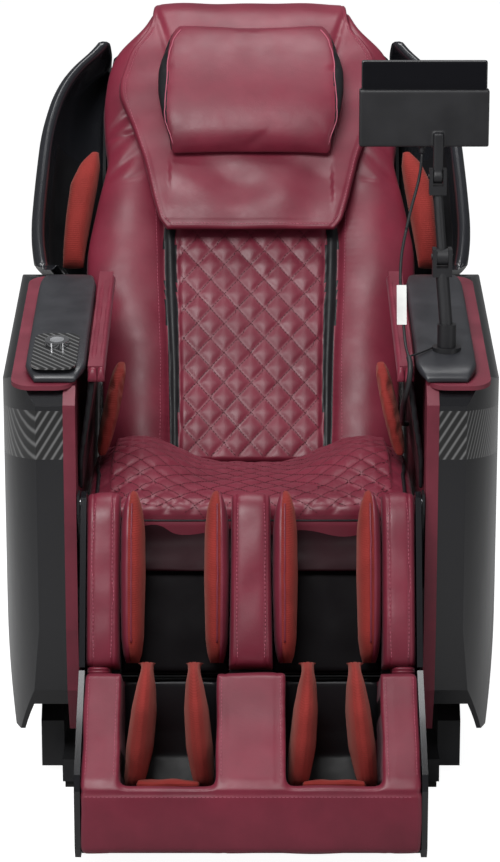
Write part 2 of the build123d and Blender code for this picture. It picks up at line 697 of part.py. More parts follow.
# Head pad: it hangs from the top edge, hinged 104 forward and 898 up, and can be thrown back.
with BuildPart() as head_flap:
    with BuildSketch(BACK_SIDE):
        polygon([
            (88, 886), (88, 760), (98, 600), (113, 460), (122, 454), (137, 468),
            (129, 650), (118, 760), (106, 872), (104, 892),
        ])
    extrude(amount=300, both=True)
    with BuildSketch(BACK):
        half = [(140, 454), (167, 466), (180, 515), (197, 594), (220, 664), (247, 724), (246, 752), (229, 815), (186, 892)]
        polygon([*half, *[(-x, up) for x, up in reversed(half)]])
    extrude(amount=200, mode=Mode.INTERSECT)
head_flap.part.label = "head_flap"
export_step(head_flap.part, "parts/head_flap.step")

with BuildPart() as head_pillow:
    with BuildSketch(BACK_SIDE):
        polygon([
            (109, 868), (121, 758), (132.5, 648), (134.5, 590), (146, 590), (162, 612), (172, 670), (170, 740), (156, 815), (132, 852), (116, 868),
        ])
    extrude(amount=166, both=True)
    with BuildSketch(BACK):
        half = [(140, 586), (150, 610), (166, 700), (166, 760), (150, 840), (140, 870)]
        polygon([*half, *[(-x, up) for x, up in reversed(half)]])
    extrude(amount=200, mode=Mode.INTERSECT)
head_pillow.part.label = "head_pillow"
export_step(head_pillow.part, "parts/head_pillow.step")

# Roller massage mechanism, inside the back.
with BuildPart() as roller_carriage:
    local_block(BACK, (-135, CARRIAGE_UP - 55, -76), (135, CARRIAGE_UP + 55, -66))
    for side in (-1, 1):
        low, high = sorted((side * (GUIDE_X - 12), side * (GUIDE_X + 12)))
        local_block(BACK, (low, CARRIAGE_UP - 50, -66), (high, CARRIAGE_UP + 50, -33))
        low, high = sorted((side * 82, side * 90))
        local_block(BACK, (low, CARRIAGE_UP - 12, -66), (high, CARRIAGE_UP + 12, -30))
        bar(BACK.from_local_coords((side * GUIDE_X, CARRIAGE_UP - 60, GUIDE_FORWARD)),
            BACK.from_local_coords((side * GUIDE_X, CARRIAGE_UP + 60, GUIDE_FORWARD)),
            6 + RUNNING_GAP, mode=Mode.SUBTRACT)
    bar(BACK.from_local_coords((-90, CARRIAGE_UP, SHAFT_FORWARD)),
        BACK.from_local_coords((90, CARRIAGE_UP, SHAFT_FORWARD)), 5)
roller_carriage.part.label = "roller_carriage"
export_step(roller_carriage.part, "parts/roller_carriage.step")


def roller_arm(x_arm, x_roller):
    """Rocking arm with a roller at each end; the arm is on one side and the rollers beside it."""
    low, high = sorted((x_arm, x_arm + math.copysign(8, x_arm)))
    roller_low, roller_high = sorted((x_roller, x_roller + math.copysign(26, x_roller)))
    with BuildPart() as arm:
        with BuildSketch(BACK_SIDE.offset(-high)):
            polygon([
                (ROLLER_FORWARD + 8, CARRIAGE_UP + ROLLER_SPREAD + 8),
                (ROLLER_FORWARD - 10, CARRIAGE_UP + ROLLER_SPREAD + 6),
                (SHAFT_FORWARD - 12, CARRIAGE_UP + 12),
                (SHAFT_FORWARD - 12, CARRIAGE_UP - 12),
                (ROLLER_FORWARD - 10, CARRIAGE_UP - ROLLER_SPREAD - 6),
                (ROLLER_FORWARD + 8, CARRIAGE_UP - ROLLER_SPREAD - 8),
                (SHAFT_FORWARD + 12, CARRIAGE_UP - 14),
                (SHAFT_FORWARD + 12, CARRIAGE_UP + 14),
            ])
        extrude(amount=high - low)
        bar(BACK.from_local_coords((low - 1, CARRIAGE_UP, SHAFT_FORWARD)),
            BACK.from_local_coords((high + 1, CARRIAGE_UP, SHAFT_FORWARD)),
            5 + RUNNING_GAP, mode=Mode.SUBTRACT)
        for end in (-1, 1):
            up = CARRIAGE_UP + end * ROLLER_SPREAD
            bar(BACK.from_local_coords((min(low, roller_low), up, ROLLER_FORWARD)),
                BACK.from_local_coords((max(high, roller_high), up, ROLLER_FORWARD)), 4)
    with BuildPart() as rollers:
        for end in (-1, 1):
            up = CARRIAGE_UP + end * ROLLER_SPREAD
            ends = [BACK.from_local_coords((x, up, ROLLER_FORWARD)) for x in (roller_low, roller_high)]
            bar(*ends, 23)
            bar(*ends, 4 + RUNNING_GAP, mode=Mode.SUBTRACT)
    return [arm.part, rollers.part]


with BuildPart() as roller_arm_left:
    for piece in roller_arm(38.0, 47.0):
        add(piece)
roller_arm_left.part.label = "roller_arm_left"
export_step(roller_arm_left.part, "parts/roller_arm_left.step")

with BuildPart() as roller_arm_right:
    for piece in roller_arm(-38.0, -47.0):
        add(piece)
roller_arm_right.part.label = "roller_arm_right"
export_step(roller_arm_right.part, "parts/roller_arm_right.step")

# ================================================================ leg rest
CALF_PLATE_X = (269.5, CALF_HALF)
with BuildPart() as calf_shell:
    with BuildSketch(CALF_SIDE.offset(-CALF_PLATE_X[1])):
        polygon([
            (-16, 14), (6, 17), (21, 4), (22, CALF_BOTTOM), (-121, CALF_BOTTOM), (-121, -170), (-70, -60),
        ])
    extrude(amount=CALF_PLATE_X[1] - CALF_PLATE_X[0])
    cross_pin(268, 280, *LEG_PIVOT, PIN_R + RUNNING_GAP, mode=Mode.SUBTRACT)
    mirror(about=Plane.YZ)
    local_block(CALF, (-269.3, CALF_BOTTOM, -121), (269.3, -218, -116))
calf_shell.part.label = "calf_shell"
export_step(calf_shell.part, "parts/calf_shell.step")

FOOT_ROD = (180.0, -100.0, 7.0)   # across, forward, radius
with BuildPart() as calf_frame:
    local_block(CALF, (-269.3, CALF_BOTTOM, -88), (269.3, -82, -84))
    # notch that the actuator's yoke swings through
    local_block(CALF, (LEG_X - 9.8, -160, -89), (LEG_X + 9.8, -81, -83), mode=Mode.SUBTRACT)
    for x_low in (LEG_X - 16, LEG_X + 10):
        with BuildSketch(CALF_SIDE.offset(-x_low - 6)):
            polygon([
                (-88.2, CALF_PIN_UP + 26), (-88.2, CALF_PIN_UP - 20), (CALF_PIN_FORWARD - 11, CALF_PIN_UP - 10),
                (CALF_PIN_FORWARD - 11, CALF_PIN_UP + 10),
            ])
        extrude(amount=6)
    pin_yz = CALF.from_local_coords((0, CALF_PIN_UP, CALF_PIN_FORWARD))
    cross_pin(LEG_X - 16, LEG_X + 16, pin_yz.Y, pin_yz.Z, PIN_R, mode=Mode.SUBTRACT)
    cross_pin(LEG_X - 16, LEG_X + 16, pin_yz.Y, pin_yz.Z, PIN_R)
    for side in (-1, 1):
        for low, high in ((-200, -180), (-273, -253)):
            ends = [CALF.from_local_coords((side * FOOT_ROD[0], up, FOOT_ROD[1])) for up in (low, high)]
            bar(*ends, 11)
            bar(*ends, FOOT_ROD[2] + RUNNING_GAP, mode=Mode.SUBTRACT)
calf_frame.part.label = "calf_frame"
export_step(calf_frame.part, "parts/calf_frame.step")

CALF_SIDE_BOLSTER = [
    (-30, 8), (-16, 16), (6, 16), (20, 6), (26, -10), (26, CALF_BOTTOM), (-83.8, CALF_BOTTOM),
    (-83.8, -76), (-52, -38),
]
with BuildPart() as calf_bolsters:
    with BuildSketch(CALF_SIDE.offset(-269)):
        polygon(CALF_SIDE_BOLSTER)
    extrude(amount=55)
    mirror(about=Plane.YZ)
    with BuildSketch(CALF_SIDE):
        polygon(CALF_SIDE_BOLSTER)
    extrude(amount=36, both=True)
    # padding at the back of each calf channel
    for x_low, x_high in ((-213.7, -36.3), (36.3, 213.7)):
        local_block(CALF, (x_low, CALF_BOTTOM, -83.8), (x_high, -80, -68))
    local_block(CALF, (LEG_X - 9.8, -160, -84), (LEG_X + 9.8, -79, -71), mode=Mode.SUBTRACT)
calf_bolsters.part.label = "calf_bolsters"
export_step(calf_bolsters.part, "parts/calf_bolsters.step")

CALF_AIRBAG = [(-60, -40), (-30, 6), (8, 22), (30, 10), (34, -40), (34, -230), (22, -262), (-67.7, -262), (-67.7, -70)]
with BuildPart() as calf_airbags:
    for inner, outer in ((38, 74), (176, 212)):
        with BuildSketch(CALF_SIDE.offset(-outer)):
            polygon(CALF_AIRBAG)
        extrude(amount=outer - inner)
    mirror(about=Plane.YZ)
calf_airbags.part.label = "calf_airbags"
export_step(calf_airbags.part, "parts/calf_airbags.step")

# ================================================================ foot unit, which slides out of the leg rest
FOOT_FRONT = -737.0
with BuildPart() as foot_shell:
    side_outline = [
        (-540, 277), (-718, 166), (FOOT_FRONT + 8, 142), (FOOT_FRONT + 8, 44), (FOOT_FRONT + 20, 26),
        (-460, 26), (-424, 60), (-414, 222),
    ]
    with BuildSketch(Plane.YZ.offset(CALF_PLATE_X[0])):
        polygon(side_outline)
    extrude(amount=CALF_PLATE_X[1] - CALF_PLATE_X[0])
    mirror(about=Plane.YZ)
    with BuildSketch(Plane.YZ):
        polygon([(-700, 26), (-700, 32), (-463, 32), (-430, 63), (-420, 222), (-414, 222), (-424, 60), (-460, 26)])
    extrude(amount=269.3, both=True)
foot_shell.part.label = "foot_shell"
export_step(foot_shell.part, "parts/foot_shell.step")

WELL_X = (56.0, 208.0)
with BuildPart() as foot_cushion:
    with BuildSketch(Plane.YZ):
        polygon([
            (-541, 274), (-560, 276), (-722, 160), (FOOT_FRONT, 142), (FOOT_FRONT, 44), (FOOT_FRONT + 18, 32.3),
            (-466, 32.3), (-433, 66), (-424, 214),
        ])
    extrude(amount=269.2, both=True)
    with BuildSketch(Plane.YZ.offset(WELL_X[0])):
        polygon([(-690, 134), (-500, 46), (-452, 96), (-452, 300), (-800, 300), (-800, 148), (-716, 148)])
    extrude(amount=WELL_X[1] - WELL_X[0], mode=Mode.SUBTRACT)
    with BuildSketch(Plane.YZ.offset(-WELL_X[1])):
        polygon([(-690, 134), (-500, 46), (-452, 96), (-452, 300), (-800, 300), (-800, 148), (-716, 148)])
    extrude(amount=WELL_X[1] - WELL_X[0], mode=Mode.SUBTRACT)
    for side in (-1, 1):
        ends = [CALF.from_local_coords((side * FOOT_ROD[0], up, FOOT_ROD[1])) for up in (-260, -305)]
        bar(*ends, FOOT_ROD[2] + 0.2, mode=Mode.SUBTRACT)
foot_cushion.part.label = "foot_cushion"
export_step(foot_cushion.part, "parts/foot_cushion.step")

with BuildPart() as foot_airbags:
    for inner, outer in ((WELL_X[0] + 0.5, 82), (182, WELL_X[1] - 0.5)):
        with BuildSketch(Plane.YZ.offset(inner)):
            with BuildLine():
                Spline((-676, 144), (-676, 200), (-650, 262), (-606, 299), (-560, 290), (-508, 240), (-470, 160),
                       (-470, 104))
                Polyline((-470, 104), (-506, 66), (-676, 144))
            make_face()
        extrude(amount=outer - inner)
    with BuildSketch(Plane.YZ.offset(83)):
        polygon([(-686, 133), (-512, 52.5), (-506, 60), (-684, 143)])
    extrude(amount=98)
    mirror(about=Plane.YZ)
foot_airbags.part.label = "foot_airbags"
export_step(foot_airbags.part, "parts/foot_airbags.step")

with BuildPart() as foot_rods:
    for side in (-1, 1):
        ends = [CALF.from_local_coords((side * FOOT_ROD[0], up, FOOT_ROD[1])) for up in (-125, -304)]
        bar(*ends, FOOT_ROD[2])
foot_rods.part.label = "foot_rods"
export_step(foot_rods.part, "parts/foot_rods.step")

# ================================================================ tablet arm
SOCKET_TOP = 758.0
ELBOW = (316.0, -272.0, 905.0)
KNUCKLE = (308.0, -251.0, 1036.0)
with BuildPart() as tablet_socket:
    bar((*SOCKET, 700), (*SOCKET, SOCKET_TOP), 24)
    bar((*SOCKET, 732), (*SOCKET, SOCKET_TOP + 1), 10 + RUNNING_GAP, mode=Mode.SUBTRACT)
    split(bisect_by=ARM_TOP.offset(0.3), keep=Keep.TOP)
tablet_socket.part.label = "tablet_socket"
export_step(tablet_socket.part, "parts/tablet_socket.step")

with BuildPart() as arm_post:
    bar((*SOCKET, 734), (*SOCKET, SOCKET_TOP + 2), 10)
    bar((*SOCKET, SOCKET_TOP + 0.5), (*SOCKET, 796), 15.5)
    bar((*SOCKET, 780), (ELBOW[0], ELBOW[1] - 3, ELBOW[2] - 26), 11)
    block((ELBOW[0] - 16, ELBOW[1] - 14, ELBOW[2] - 32), (ELBOW[0] + 16, ELBOW[1] + 14, ELBOW[2] + 14))
    block((ELBOW[0] - 9.6, ELBOW[1] - 20, ELBOW[2] - 17), (ELBOW[0] + 9.6, ELBOW[1] + 20, ELBOW[2] + 20),
          mode=Mode.SUBTRACT)
    cross_pin(ELBOW[0] - 18, ELBOW[0] + 18, ELBOW[1], ELBOW[2], 5)
arm_post.part.label = "arm_post"
export_step(arm_post.part, "parts/arm_post.step")

with BuildPart() as arm_link:
    cross_pin(ELBOW[0] - 9.2, ELBOW[0] + 9.2, ELBOW[1], ELBOW[2], 14)
    bar((ELBOW[0], ELBOW[1], ELBOW[2]), (KNUCKLE[0], KNUCKLE[1], KNUCKLE[2] - 24), 8)
    cross_pin(ELBOW[0] - 10, ELBOW[0] + 10, ELBOW[1], ELBOW[2], 5 + RUNNING_GAP, mode=Mode.SUBTRACT)
    block((KNUCKLE[0] - 14, KNUCKLE[1] - 12, KNUCKLE[2] - 30), (KNUCKLE[0] + 14, KNUCKLE[1] + 12, KNUCKLE[2] + 12))
    block((KNUCKLE[0] - 8.4, KNUCKLE[1] - 20, KNUCKLE[2] - 15), (KNUCKLE[0] + 8.4, KNUCKLE[1] + 20, KNUCKLE[2] + 20),
          mode=Mode.SUBTRACT)
    cross_pin(KNUCKLE[0] - 16, KNUCKLE[0] + 16, KNUCKLE[1], KNUCKLE[2], 4.5)
arm_link.part.label = "arm_link"
export_step(arm_link.part, "parts/arm_link.step")

TABLET_X = (178.0, 391.0)
TABLET_Z = (1084.0, 1225.0)
CRADLE_TOP = 1178.0
TABLET_Y = -250.0
with BuildPart() as tablet_cradle:
    cross_pin(KNUCKLE[0] - 8, KNUCKLE[0] + 8, KNUCKLE[1], KNUCKLE[2], 12)
    block((KNUCKLE[0] - 8, KNUCKLE[1] - 9, KNUCKLE[2]), (KNUCKLE[0] + 8, KNUCKLE[1] + 9, 1108))
    cross_pin(KNUCKLE[0] - 9, KNUCKLE[0] + 9, KNUCKLE[1], KNUCKLE[2], 4.5 + RUNNING_GAP, mode=Mode.SUBTRACT)
    block((TABLET_X[0], TABLET_Y, TABLET_Z[0]), (TABLET_X[1], TABLET_Y + 28, CRADLE_TOP))
    block((TABLET_X[0] + 3, TABLET_Y + 10, TABLET_Z[0] + 6), (TABLET_X[1] - 3, TABLET_Y + 24, CRADLE_TOP + 1),
          mode=Mode.SUBTRACT)
    block((TABLET_X[0] + 14, TABLET_Y + 23, TABLET_Z[0] + 14), (TABLET_X[1] - 14, TABLET_Y + 30, CRADLE_TOP + 1),
          mode=Mode.SUBTRACT)
    # strain relief of the cable
    bar((282, -240, 1072), (282, -240, TABLET_Z[0] + 2), 5)
tablet_cradle.part.label = "tablet_cradle"
export_step(tablet_cradle.part, "parts/tablet_cradle.step")

with BuildPart() as tablet:
    block((TABLET_X[0] + 3.2, TABLET_Y + 10.2, TABLET_Z[0] + 6.2), (TABLET_X[1] - 3.2, TABLET_Y + 23.8, TABLET_Z[1]))
tablet.part.label = "tablet"
export_step(tablet.part, "parts/tablet.step")

# ================================================================ cables
# The cable hangs from the tablet to a sleeve that leads it over the arm's rim and down behind the hip
# air bag. It is in three lengths, because the arm has three joints along it.
CABLE_UPPER = [
    (282, -240, 1071.4), (280.5, -243, 1052), (277.5, -247, 1032), (272.5, -251, 1012), (266.5, -255, 991),
    (261, -259, 970), (256.5, -263, 949),
]
CABLE_MIDDLE = [
    (256.5, -263, 949), (252, -267, 928), (248.7, -272, 908), (247.1, -278, 889), (246.5, -284, 870),
    (247.4, -290, 850), (249, -298, 830),
]
CABLE_LOWER = [
    (249, -298, 830), (250.6, -306, 810), (252.5, -314, 790), (254, -322, 772), (256.5, -333, 759),
    (259, -345, 752),
]
CABLE_POST = [
    (299, -299, 756.5), (290, -308, 755), (280, -319, 753.4), (270, -330, 752.4), (261.5, -339, 752.8),
]
SLEEVE = [
    (259, -345, 752), (261, -354.6, 746.4), (261, -364, 735), (259, -368, 715), (255, -363, 694),
    (251.5, -350, 676), (251, -322, 656), (253, -286, 638), (254.5, -250, 622), (256, -214, 608),
    (259, -180, 596), (263, -148, 586), (269, -120, 579),
]


def cord_tube(points, radius):
    """Tube along straight runs joined by tangent arcs as large as the runs allow."""
    corners = [Vector(*point) for point in points]
    radii = []
    for before, here, after in zip(corners, corners[1:], corners[2:]):
        into, out = here - before, after - here
        half_turn = math.radians(into.get_angle(out)) / 2
        radii.append(0.45 * min(into.length, out.length) / math.tan(half_turn))
    with BuildPart() as tube:
        with BuildLine() as path:
            FilletPolyline(*points, radius=radii)
        with BuildSketch(Plane(points[0], z_dir=corners[1] - corners[0])):
            Circle(radius)
        sweep(path=path.line)
    length = sum(edge.length for edge in path.line.edges())
    print("radii", [round(r) for r in radii], "length", round(length, 1))
    print("volume against section times length", round(tube.part.volume / (math.pi * radius ** 2 * length), 4))
    return tube.part


with BuildPart() as cable_upper:
    add(cord_tube(CABLE_UPPER, CABLE_R))
cable_upper.part.label = "cable_upper"
export_step(cable_upper.part, "parts/cable_upper.step")

with BuildPart() as cable_middle:
    add(cord_tube(CABLE_MIDDLE, CABLE_R))
cable_middle.part.label = "cable_middle"
export_step(cable_middle.part, "parts/cable_middle.step")

with BuildPart() as cable_lower:
    add(cord_tube(CABLE_LOWER, CABLE_R))
cable_lower.part.label = "cable_lower"
export_step(cable_lower.part, "parts/cable_lower.step")

with BuildPart() as cable_post:
    add(cord_tube(CABLE_POST, 1.6))
cable_post.part.label = "cable_post"
export_step(cable_post.part, "parts/cable_post.step")

with BuildPart() as cable_sleeve:
    add(cord_tube(SLEEVE, SLEEVE_R))
cable_sleeve.part.label = "cable_sleeve"
export_step(cable_sleeve.part, "parts/cable_sleeve.step")

# Blank tag on the cable's middle length, just in front of it.
TAG = Plane((248.5, -299, 829), x_dir=(1, 0, 0), z_dir=(0, -0.93, 0.37))
with BuildPart() as cable_tag:
    local_block(TAG, (-8, -33, 2.8), (8, 33, 4.2))
cable_tag.part.label = "cable_tag"
export_step(cable_tag.part, "parts/cable_tag.step")
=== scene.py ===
"""Looks of the reclining massage chair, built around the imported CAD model. Lengths are in millimetres
until a mesh is made. A piece's local a and b run along and out of the surface that it lies on."""

import math

import bpy
import numpy as np
from mathutils import Matrix, Vector

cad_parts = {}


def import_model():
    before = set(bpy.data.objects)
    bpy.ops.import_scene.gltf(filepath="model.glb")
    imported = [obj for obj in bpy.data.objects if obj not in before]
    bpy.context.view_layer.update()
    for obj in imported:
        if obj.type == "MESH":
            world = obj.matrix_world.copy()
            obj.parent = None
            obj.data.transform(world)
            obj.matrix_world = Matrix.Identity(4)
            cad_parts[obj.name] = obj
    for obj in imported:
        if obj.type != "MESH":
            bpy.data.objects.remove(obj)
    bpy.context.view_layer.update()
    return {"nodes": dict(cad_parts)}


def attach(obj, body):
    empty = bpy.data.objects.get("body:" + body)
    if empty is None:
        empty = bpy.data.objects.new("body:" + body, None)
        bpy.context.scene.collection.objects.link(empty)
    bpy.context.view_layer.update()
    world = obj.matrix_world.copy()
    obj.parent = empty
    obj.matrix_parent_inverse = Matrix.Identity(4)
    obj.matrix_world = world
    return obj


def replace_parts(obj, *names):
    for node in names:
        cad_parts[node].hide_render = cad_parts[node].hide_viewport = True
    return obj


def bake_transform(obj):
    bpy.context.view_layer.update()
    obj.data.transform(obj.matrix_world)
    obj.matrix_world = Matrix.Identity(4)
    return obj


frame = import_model()
MM = 0.001

# ---------------------------------------------------------------- camera
CAMERA_TARGET = Vector((-0.0016, 0.045, 0.522))
CAMERA_DISTANCE = 5.5
CAMERA_ELEVATION = math.radians(15)
camera_data = bpy.data.cameras.new("camera")
camera_data.lens = 128.8
camera = bpy.data.objects.new("camera", camera_data)
bpy.context.scene.collection.objects.link(camera)
away = Vector((0, -math.cos(CAMERA_ELEVATION), math.sin(CAMERA_ELEVATION)))
camera.location = CAMERA_TARGET + away * CAMERA_DISTANCE
camera.rotation_euler = away.to_track_quat("Z", "Y").to_euler()
bpy.context.scene.camera = camera

# ---------------------------------------------------------------- working planes, as in the CAD model
LEAN = math.radians(32)
CALF_LEAN = math.radians(25)
ARM_SLOPE = math.radians(8.33)


def world(x, a, b):
    return (x, a, b)


def back(x, a, b):
    return (
        x,
        155 + math.sin(LEAN) * a - math.cos(LEAN) * b,
        390 + math.cos(LEAN) * a + math.sin(LEAN) * b,
    )


def calf(x, a, b):
    return (
        x,
        -400 + math.sin(CALF_LEAN) * a - math.cos(CALF_LEAN) * b,
        520 + math.cos(CALF_LEAN) * a + math.sin(CALF_LEAN) * b,
    )


def arm(x, a, b):
    return (
        x,
        -405 + math.cos(ARM_SLOPE) * a - math.sin(ARM_SLOPE) * b,
        708 + math.sin(ARM_SLOPE) * a + math.cos(ARM_SLOPE) * b,
    )


# ---------------------------------------------------------------- materials
def new_material(name, base, rough, metallic=0.0, coat=0.0, specular=0.5):
    """A Principled material, its shader and a short way to add nodes."""
    material = bpy.data.materials.new(name)
    material.use_nodes = True
    tree = material.node_tree
    shader = tree.nodes["Principled BSDF"]
    shader.inputs["Base Color"].default_value = (*base, 1)
    shader.inputs["Roughness"].default_value = rough
    shader.inputs["Metallic"].default_value = metallic
    shader.inputs["Coat Weight"].default_value = coat
    shader.inputs["Coat Roughness"].default_value = 0.05
    shader.inputs["Specular IOR Level"].default_value = specular
    return material, tree, shader


def texture(tree, kind, scale, stretch=(1, 1, 1), **inputs):
    """A procedural texture in the piece's own coordinates, in metres."""
    coordinates = tree.nodes.new("ShaderNodeTexCoord")
    mapping = tree.nodes.new("ShaderNodeMapping")
    mapping.inputs["Scale"].default_value = stretch
    node = tree.nodes.new(kind)
    node.inputs["Scale"].default_value = scale
    for key, value in inputs.items():
        node.inputs[key].default_value = value
    tree.links.new(coordinates.outputs["Object"], mapping.inputs["Vector"])
    tree.links.new(mapping.outputs["Vector"], node.inputs["Vector"])
    return node


def ramp(tree, source, stops):
    """Colours spread over a texture's value. Each stop is a position and a colour."""
    node = tree.nodes.new("ShaderNodeValToRGB")
    elements = node.color_ramp.elements
    while len(elements) < len(stops):
        elements.new(0.5)
    for element, (position, colour) in zip(elements, stops):
        element.position = position
        element.color = (*colour, 1)
    tree.links.new(source, node.inputs["Fac"])
    return node


def grey(value):
    return (value, value, value)


def bump(tree, shader, heights):
    """Bumps stacked on the shader's normal. Each is a texture output, a depth in metres and a strength."""
    last = None
    for source, depth, strength in heights:
        node = tree.nodes.new("ShaderNodeBump")
        node.inputs["Distance"].default_value = depth
        node.inputs["Strength"].default_value = strength
        tree.links.new(source, node.inputs["Height"])
        if last:
            tree.links.new(last.outputs["Normal"], node.inputs["Normal"])
        last = node
    tree.links.new(last.outputs["Normal"], shader.inputs["Normal"])


def leather(name, base, rough=0.40, sheen=0.06, sheen_tint=(1.0, 0.72, 0.82), specular=0.4):
    """Fine-grained soft leather with slight mottling."""
    material, tree, shader = new_material(name, base, rough, specular=specular)
    mottle = texture(tree, "ShaderNodeTexNoise", 9, Detail=4, Roughness=0.6)
    colours = ramp(tree, mottle.outputs["Fac"], [
        (0.30, [c * 0.80 for c in base]), (0.55, base), (0.75, [min(1, c * 1.18) for c in base]),
    ])
    tree.links.new(colours.outputs["Color"], shader.inputs["Base Color"])
    polish = texture(tree, "ShaderNodeTexNoise", 26, Detail=3)
    shine = ramp(tree, polish.outputs["Fac"], [(0.3, grey(rough - 0.05)), (0.7, grey(rough + 0.07))])
    tree.links.new(shine.outputs["Color"], shader.inputs["Roughness"])
    grain = texture(tree, "ShaderNodeTexVoronoi", 620)
    pores = texture(tree, "ShaderNodeTexNoise", 900, Detail=3)
    creases = texture(tree, "ShaderNodeTexNoise", 60, Detail=5, Roughness=0.65)
    bump(tree, shader, [
        (creases.outputs["Fac"], 0.0012, 0.22), (grain.outputs["Distance"], 0.0003, 0.22),
        (pores.outputs["Fac"], 0.0002, 0.2),
    ])
    shader.inputs["Sheen Weight"].default_value = sheen
    shader.inputs["Sheen Roughness"].default_value = 0.4
    shader.inputs["Sheen Tint"].default_value = (*sheen_tint, 1)
    return material


def ribbed_fabric(name, base):
    """Stretch fabric with fine ribs across its height and a woven surface."""
    material, tree, shader = new_material(name, base, 0.85, specular=0.2)
    mottle = texture(tree, "ShaderNodeTexNoise", 14, Detail=4)
    colours = ramp(tree, mottle.outputs["Fac"], [
        (0.3, [c * 0.78 for c in base]), (0.7, [min(1, c * 1.15) for c in base]),
    ])
    tree.links.new(colours.outputs["Color"], shader.inputs["Base Color"])
    ribs = texture(tree, "ShaderNodeTexWave", 90, Distortion=0.6, Detail=1)
    ribs.bands_direction = "Z"
    weave = texture(tree, "ShaderNodeTexVoronoi", 700)
    bump(tree, shader, [(ribs.outputs["Fac"], 0.0006, 0.5), (weave.outputs["Distance"], 0.0004, 0.45)])
    shader.inputs["Sheen Weight"].default_value = 0.15
    shader.inputs["Sheen Roughness"].default_value = 0.5
    shader.inputs["Sheen Tint"].default_value = (1.0, 0.6, 0.5, 1)
    return material


def gloss_shell(name, base, rough=0.16):
    """Lacquered dark plastic with a faint metallic fleck."""
    material, tree, shader = new_material(name, base, rough, metallic=0.1, coat=0.35)
    fleck = texture(tree, "ShaderNodeTexNoise", 1400, Detail=2)
    colours = ramp(tree, fleck.outputs["Fac"], [
        (0.40, [c * 0.7 for c in base]), (0.68, [c * 1.7 for c in base]),
    ])
    tree.links.new(colours.outputs["Color"], shader.inputs["Base Color"])
    ripple = texture(tree, "ShaderNodeTexNoise", 320, Detail=2)
    bump(tree, shader, [(ripple.outputs["Fac"], 0.0001, 0.06)])
    return material


def moulded(name, base, rough=0.5, grain_depth=0.0002, metallic=0.0):
    """Moulded or painted surface with a fine eggshell grain."""
    material, tree, shader = new_material(name, base, rough, metallic=metallic)
    tone = texture(tree, "ShaderNodeTexNoise", 18, Detail=4)
    colours = ramp(tree, tone.outputs["Fac"], [
        (0.3, [c * 0.85 for c in base]), (0.7, [min(1, c * 1.15) for c in base]),
    ])
    tree.links.new(colours.outputs["Color"], shader.inputs["Base Color"])
    polish = ramp(tree, tone.outputs["Fac"], [(0.3, grey(max(0.05, rough - 0.06))), (0.7, grey(rough + 0.06))])
    tree.links.new(polish.outputs["Color"], shader.inputs["Roughness"])
    grain = texture(tree, "ShaderNodeTexNoise", 1100, Detail=2)
    bump(tree, shader, [(grain.outputs["Fac"], grain_depth, 0.3)])
    return material


def carbon(name):
    """Clear-coated carbon twill, drawn as narrow diagonal ribs."""
    material, tree, shader = new_material(name, grey(0.1), 0.28, metallic=0.3, coat=0.9)
    ribs = texture(tree, "ShaderNodeTexWave", 46, stretch=(1, 1, -0.62))
    ribs.bands_direction = "DIAGONAL"
    strands = texture(tree, "ShaderNodeTexNoise", 700, Detail=2)
    colours = ramp(tree, ribs.outputs["Fac"], [(0.45, grey(0.010)), (0.75, grey(0.07)), (1.0, grey(0.20))])
    tree.links.new(colours.outputs["Color"], shader.inputs["Base Color"])
    bump(tree, shader, [(ribs.outputs["Fac"], 0.0004, 0.3), (strands.outputs["Fac"], 0.0002, 0.2)])
    return material


BURGUNDY = (0.185, 0.020, 0.040)
BLACK = (0.012, 0.012, 0.014)
red_leather = leather("red_leather", BURGUNDY)
# The burgundy leather darkened almost to black, with no sheen and little shine: painted shade, used on the web
# under the seat's front edge and on the head flap's back.
red_leather_painted_shade = leather("red_leather_painted_shade", (0.020, 0.003, 0.006), rough=0.6, sheen=0.0, specular=0.15)
black_leather = leather("black_leather", BLACK, rough=0.42, sheen=0.0, specular=0.3)
# Black leather for the calf channels, made darker and nearly without shine: painted shade for the recesses
# between the bolsters.
channel_leather_painted_shade = leather("channel_leather_painted_shade", (0.006, 0.005, 0.006), rough=0.6, sheen=0.0, specular=0.08)
airbag_fabric = ribbed_fabric("airbag_fabric", (0.25, 0.026, 0.022))
shell_gloss = gloss_shell("shell_gloss", (0.010, 0.010, 0.012))
wing_gloss = gloss_shell("wing_gloss", (0.020, 0.021, 0.025), rough=0.2)
trim_burgundy = moulded("trim_burgundy", (0.17, 0.022, 0.040), rough=0.45)
pad_satin = moulded("pad_satin", (0.028, 0.029, 0.034), rough=0.36)
plastic_black = moulded("plastic_black", (0.014, 0.014, 0.016), rough=0.5)
rubber_black = moulded("rubber_black", (0.012, 0.012, 0.012), rough=0.8, grain_depth=0.0005)
steel_black = moulded("steel_black", (0.02, 0.02, 0.022), rough=0.42, metallic=0.3)
steel_bright = moulded("steel_bright", (0.55, 0.55, 0.57), rough=0.28, metallic=1.0)
chrome = moulded("chrome", (0.75, 0.75, 0.77), rough=0.12, metallic=1.0)
silver = moulded("silver", (0.55, 0.56, 0.58), rough=0.3, metallic=0.7)
screen_glass = gloss_shell("screen_glass", (0.006, 0.006, 0.008), rough=0.08)
tag_paper = moulded("tag_paper", (0.85, 0.85, 0.83), rough=0.7)
thread = moulded("thread", (0.42, 0.10, 0.15), rough=0.7)
dark_thread = moulded("dark_thread", (0.10, 0.012, 0.022), rough=0.7)
carbon_twill = carbon("carbon_twill")

